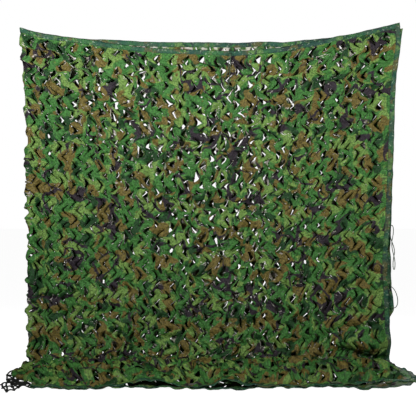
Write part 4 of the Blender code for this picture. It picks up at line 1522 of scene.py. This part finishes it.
# %% Knots and cells of the mesh
MESH_KNOTS = {
    "side_a": (-1.022, 0.090), "side_b": (-1.038, 0.150), "side_c": (-1.043, 0.255),
    "side_d": (-1.017, 0.360), "side_e": (-0.992, 0.440), "loop_a": (-1.014, 0.490),
    "loop_b": (-0.988, 0.566), "loop_c": (-0.949, 0.644), "loop_d": (-0.922, 0.613),
    "loop_e": (-0.912, 0.560), "loop_f": (-0.878, 0.525), "mid_a": (-0.974, 0.542),
    "mid_b": (-0.945, 0.547), "mid_c": (-0.965, 0.485), "under_a": (-0.985, 0.100),
    "under_b": (-0.996, 0.175), "under_c": (-1.000, 0.280), "under_d": (-0.980, 0.374),
    "under_e": (-0.940, 0.430), "under_f": (-0.922, 0.490), "under_g": (-0.880, 0.465),
    "under_h": (-0.838, 0.562),
}
MESH_CELLS = (
    ("side_a", "side_b", "under_b", "under_a"),
    ("side_b", "side_c", "under_c", "under_b"),
    ("side_c", "side_d", "under_d", "under_c"),
    ("side_d", "side_e", "mid_c", "under_d"),
    ("side_e", "loop_a", "loop_b", "mid_a"),
    ("side_e", "mid_a", "mid_b", "mid_c"),
    ("mid_a", "loop_b", "loop_c"),
    ("mid_a", "loop_c", "loop_d", "mid_b"),
    ("mid_b", "loop_d", "loop_e"),
    ("mid_c", "mid_b", "loop_e"),
    ("under_d", "mid_c", "under_f", "under_e"),
    ("mid_c", "loop_e", "under_f"),
    ("under_f", "loop_e", "loop_f", "under_g"),
    ("under_e", "under_f", "under_g"),
    ("loop_f", "under_h", "under_g"),
)
# Strands that lie bunched across the cells beside the cloth.
MESH_BUNCH = (
    ("side_c", "under_e"), ("side_d", "under_f"), ("side_e", "under_e"), ("side_e", "under_d"),
    ("under_c", "under_e"), ("side_d", "mid_c"), ("side_d", "under_e"), ("side_e", "under_f"),
    ("side_c", "under_d"), ("under_d", "under_f"), ("under_c", "mid_c"), ("under_e", "under_g"),
    ("mid_c", "under_g"), ("under_d", "under_g"),
)
print("knots:", len(MESH_KNOTS), "cells:", len(MESH_CELLS))

# %% [markdown]
# ## Strands of twine
#
# Each strand is two twines laid round each other, bent a little by a seeded random amount, with a knot
# where strands meet. The tree makes a tube round every line and sets a flattened ball at each point that is
# marked as a knot.

# %% Strands
TWINE_R = 0.0031
KNOT_R = 0.0048
KNOT_FLATNESS = 0.72
TWINE_SIDES = 8
TWINE_TURNS = 2.0
TWINE_BLACK = (0.010, 0.011, 0.010, 1)
STRAND_POINTS = 17
STRAND_BOW = 0.006
STRAND_RAISED = (0.003, 0.009)
WIND_ACROSS = 0.0020
WIND_UP = 0.0005
OFF_FLOOR = 0.0006
SAME_KNOT = 0.004
STRAND_SEED = 7

pairs = {tuple(sorted((a, b))) for cell in MESH_CELLS for a, b in zip(cell, cell[1:] + cell[:1])}
pairs = sorted(pairs | {tuple(sorted(pair)) for pair in MESH_BUNCH})
random = np.random.default_rng(STRAND_SEED)
t = np.linspace(0, 1, STRAND_POINTS)
lines = []
for a, b in pairs:
    ends = np.array([MESH_KNOTS[a], MESH_KNOTS[b]]) * (1, -1)
    along_strand = unit(ends[1] - ends[0])
    aside = np.array([-along_strand[1], along_strand[0]])
    bow_out = random.uniform(-STRAND_BOW, STRAND_BOW) * np.sin(pi * t)
    bare = not (a.startswith("under") or b.startswith("under"))
    bunched = (a, b) in MESH_BUNCH or (b, a) in MESH_BUNCH
    raised = (random.uniform(*STRAND_RAISED) if bare or bunched else 0.0) * np.sin(pi * t)
    for ply in (0, pi):
        wind = 2 * pi * TWINE_TURNS * t + ply
        sideways = bow_out + WIND_ACROSS * np.cos(wind)
        flat_line = ends[0] + (ends[1] - ends[0]) * t[:, None] + aside * sideways[:, None]
        height = FLOOR_Z + TWINE_R + OFF_FLOOR + raised + WIND_UP * np.sin(wind)
        lines.append(np.concatenate([flat_line, height[:, None]], axis=1))
mesh_twine = line_object("mesh_twine", lines)
print("strands:", len(pairs))

# %% Mark the knots
is_knot = np.zeros(len(mesh_twine.data.vertices), bool)
is_knot[::STRAND_POINTS] = True
is_knot[STRAND_POINTS - 1 :: STRAND_POINTS] = True
# Ends that fall in the same small square of the floor share one knot.
ends_at = np.round(np.concatenate(lines)[:, :2] / SAME_KNOT).astype(int)
_, first_there = np.unique(ends_at, axis=0, return_index=True)
only = np.zeros(len(is_knot), bool)
only[first_there] = True
knot_mark = mesh_twine.data.attributes.new("knot", "BOOLEAN", "POINT")
knot_mark.data.foreach_set("value", is_knot & only)
print("knots to set:", int((is_knot & only).sum()))

# %% The twine's tree


def twine_tree():
    tree, given, identifiers = new_tree(
        "knotted_twine",
        Radius=("NodeSocketFloat", TWINE_R),
        Knot=("NodeSocketFloat", KNOT_R),
        Finish=("NodeSocketMaterial", None),
    )
    curve = add_node(tree, "GeometryNodeMeshToCurve", Mesh=given["Geometry"]).outputs[0]
    ring = add_node(tree, "GeometryNodeCurvePrimitiveCircle", Resolution=TWINE_SIDES, Radius=given["Radius"])
    ring = ring.outputs[0]
    tube = add_node(tree, "GeometryNodeCurveToMesh", Curve=curve, Profile_Curve=ring, Fill_Caps=True)
    at_knot = add_node(tree, "GeometryNodeInputNamedAttribute", {"data_type": "BOOLEAN"}, Name="knot")
    ball = add_node(tree, "GeometryNodeMeshIcoSphere", Radius=given["Knot"], Subdivisions=2).outputs["Mesh"]
    flat_ball = add_node(tree, "GeometryNodeTransform", Geometry=ball, Scale=(1.0, 1.0, KNOT_FLATNESS))
    placed = add_node(
        tree,
        "GeometryNodeInstanceOnPoints",
        Points=given["Geometry"],
        Selection=at_knot.outputs[0],
        Instance=flat_ball.outputs[0],
    )
    real = add_node(tree, "GeometryNodeRealizeInstances", Geometry=placed.outputs[0])
    both = add_node(tree, "GeometryNodeJoinGeometry")
    tree.links.new(tube.outputs[0], both.inputs[0])
    tree.links.new(real.outputs[0], both.inputs[0])
    end_tree(tree, both.outputs[0], given["Finish"])
    return tree, identifiers

# %% Make the mesh of twine
twine_finish, twine_shader, _ = new_finish("black_twine", roughness=0.6)
twine_shader.inputs["Base Color"].default_value = TWINE_BLACK
realized(mesh_twine, twine_tree(), twine_finish, Radius=TWINE_R, Knot=KNOT_R)
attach(mesh_twine, "root")
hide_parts("mesh_corner")

# %% [markdown]
# ## Handing the cloth over
#
# Nothing on a net moves, so every piece rides on the one body. The cloth, tapes, ties and mesh stand in for
# the solids of the imported model, and the stitches are added to them.

for edge, how in EDGES.items():
    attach(tapes[edge], "root")
    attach(stitches[edge], "root")
    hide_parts(how["node"])
for piece in (net_front, net_back, net_foot):
    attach(piece, "root")
    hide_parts("net_cloth")

# %% [markdown]
# ## Studio
#
# A pale floor, and three soft lamps: the key in front on the left, a fill in front on the right and a
# third behind, so the net can be looked at from all round. The floor and the air look white to the camera
# alone, which keeps the background white while the shade between the leaves stays dark.

# %% Floor and air
SEEN_WHITE = 0.96
AMBIENT = 0.04
FLOOR_GREY = (0.30, 0.30, 0.30, 1)
FLOOR_HALF = 30.0


def seen_white(tree, extra=0.0):
    """A strength that only the camera sees, and a little that everything sees."""
    seen = Shade(tree, tree.nodes.new("ShaderNodeLightPath").outputs["Is Camera Ray"])
    return (seen * SEEN_WHITE + extra).socket


stage_white = bpy.data.materials.new("stage_white")
stage_white.use_nodes = True
tree = stage_white.node_tree
shader = tree.nodes["Principled BSDF"]
shader.inputs["Base Color"].default_value = FLOOR_GREY
shader.inputs["Roughness"].default_value = 1.0
shader.inputs["Emission Color"].default_value = (1, 1, 1, 1)
tree.links.new(seen_white(tree), shader.inputs["Emission Strength"])

corners = [(FLOOR_HALF * x, FLOOR_HALF * y, FLOOR_Z) for x, y in ((-1, -1), (1, -1), (1, 1), (-1, 1))]
stage_mesh = bpy.data.meshes.new("stage")
stage_mesh.from_pydata(corners, [], [(0, 1, 2, 3)])
stage = place_piece("stage", stage_mesh, stage_white)

world = bpy.data.worlds.new("sky")
world.use_nodes = True
tree = world.node_tree
background = tree.nodes["Background"]
background.inputs["Color"].default_value = (1, 1, 1, 1)
tree.links.new(seen_white(tree, AMBIENT), background.inputs["Strength"])
bpy.context.scene.world = world
print("floor at", FLOOR_Z)

# %% Lamps
LAMP_SPREAD = 2.1
LAMPS = {
    "key": {"place": (-1.9, -2.4, 0.0), "aim": (0, 0, 0.1), "size": 0.5, "power": 45.5},
    "fill": {"place": (2.2, -2.5, -0.1), "aim": (0, 0, 0.05), "size": 0.6, "power": 35.0},
    "behind": {"place": (1.6, 3.0, 0.4), "aim": (0, 0, 0.0), "size": 1.2, "power": 34.0},
}

for name, lamp in LAMPS.items():
    data = bpy.data.lights.new(name, "AREA")
    data.size, data.energy, data.spread = lamp["size"], lamp["power"], LAMP_SPREAD
    made = bpy.data.objects.new(name, data)
    made.location = lamp["place"]
    made.rotation_euler = (Vector(lamp["aim"]) - Vector(lamp["place"])).to_track_quat("-Z", "Y").to_euler()
    bpy.context.scene.collection.objects.link(made)
print("lamps:", ", ".join(LAMPS))
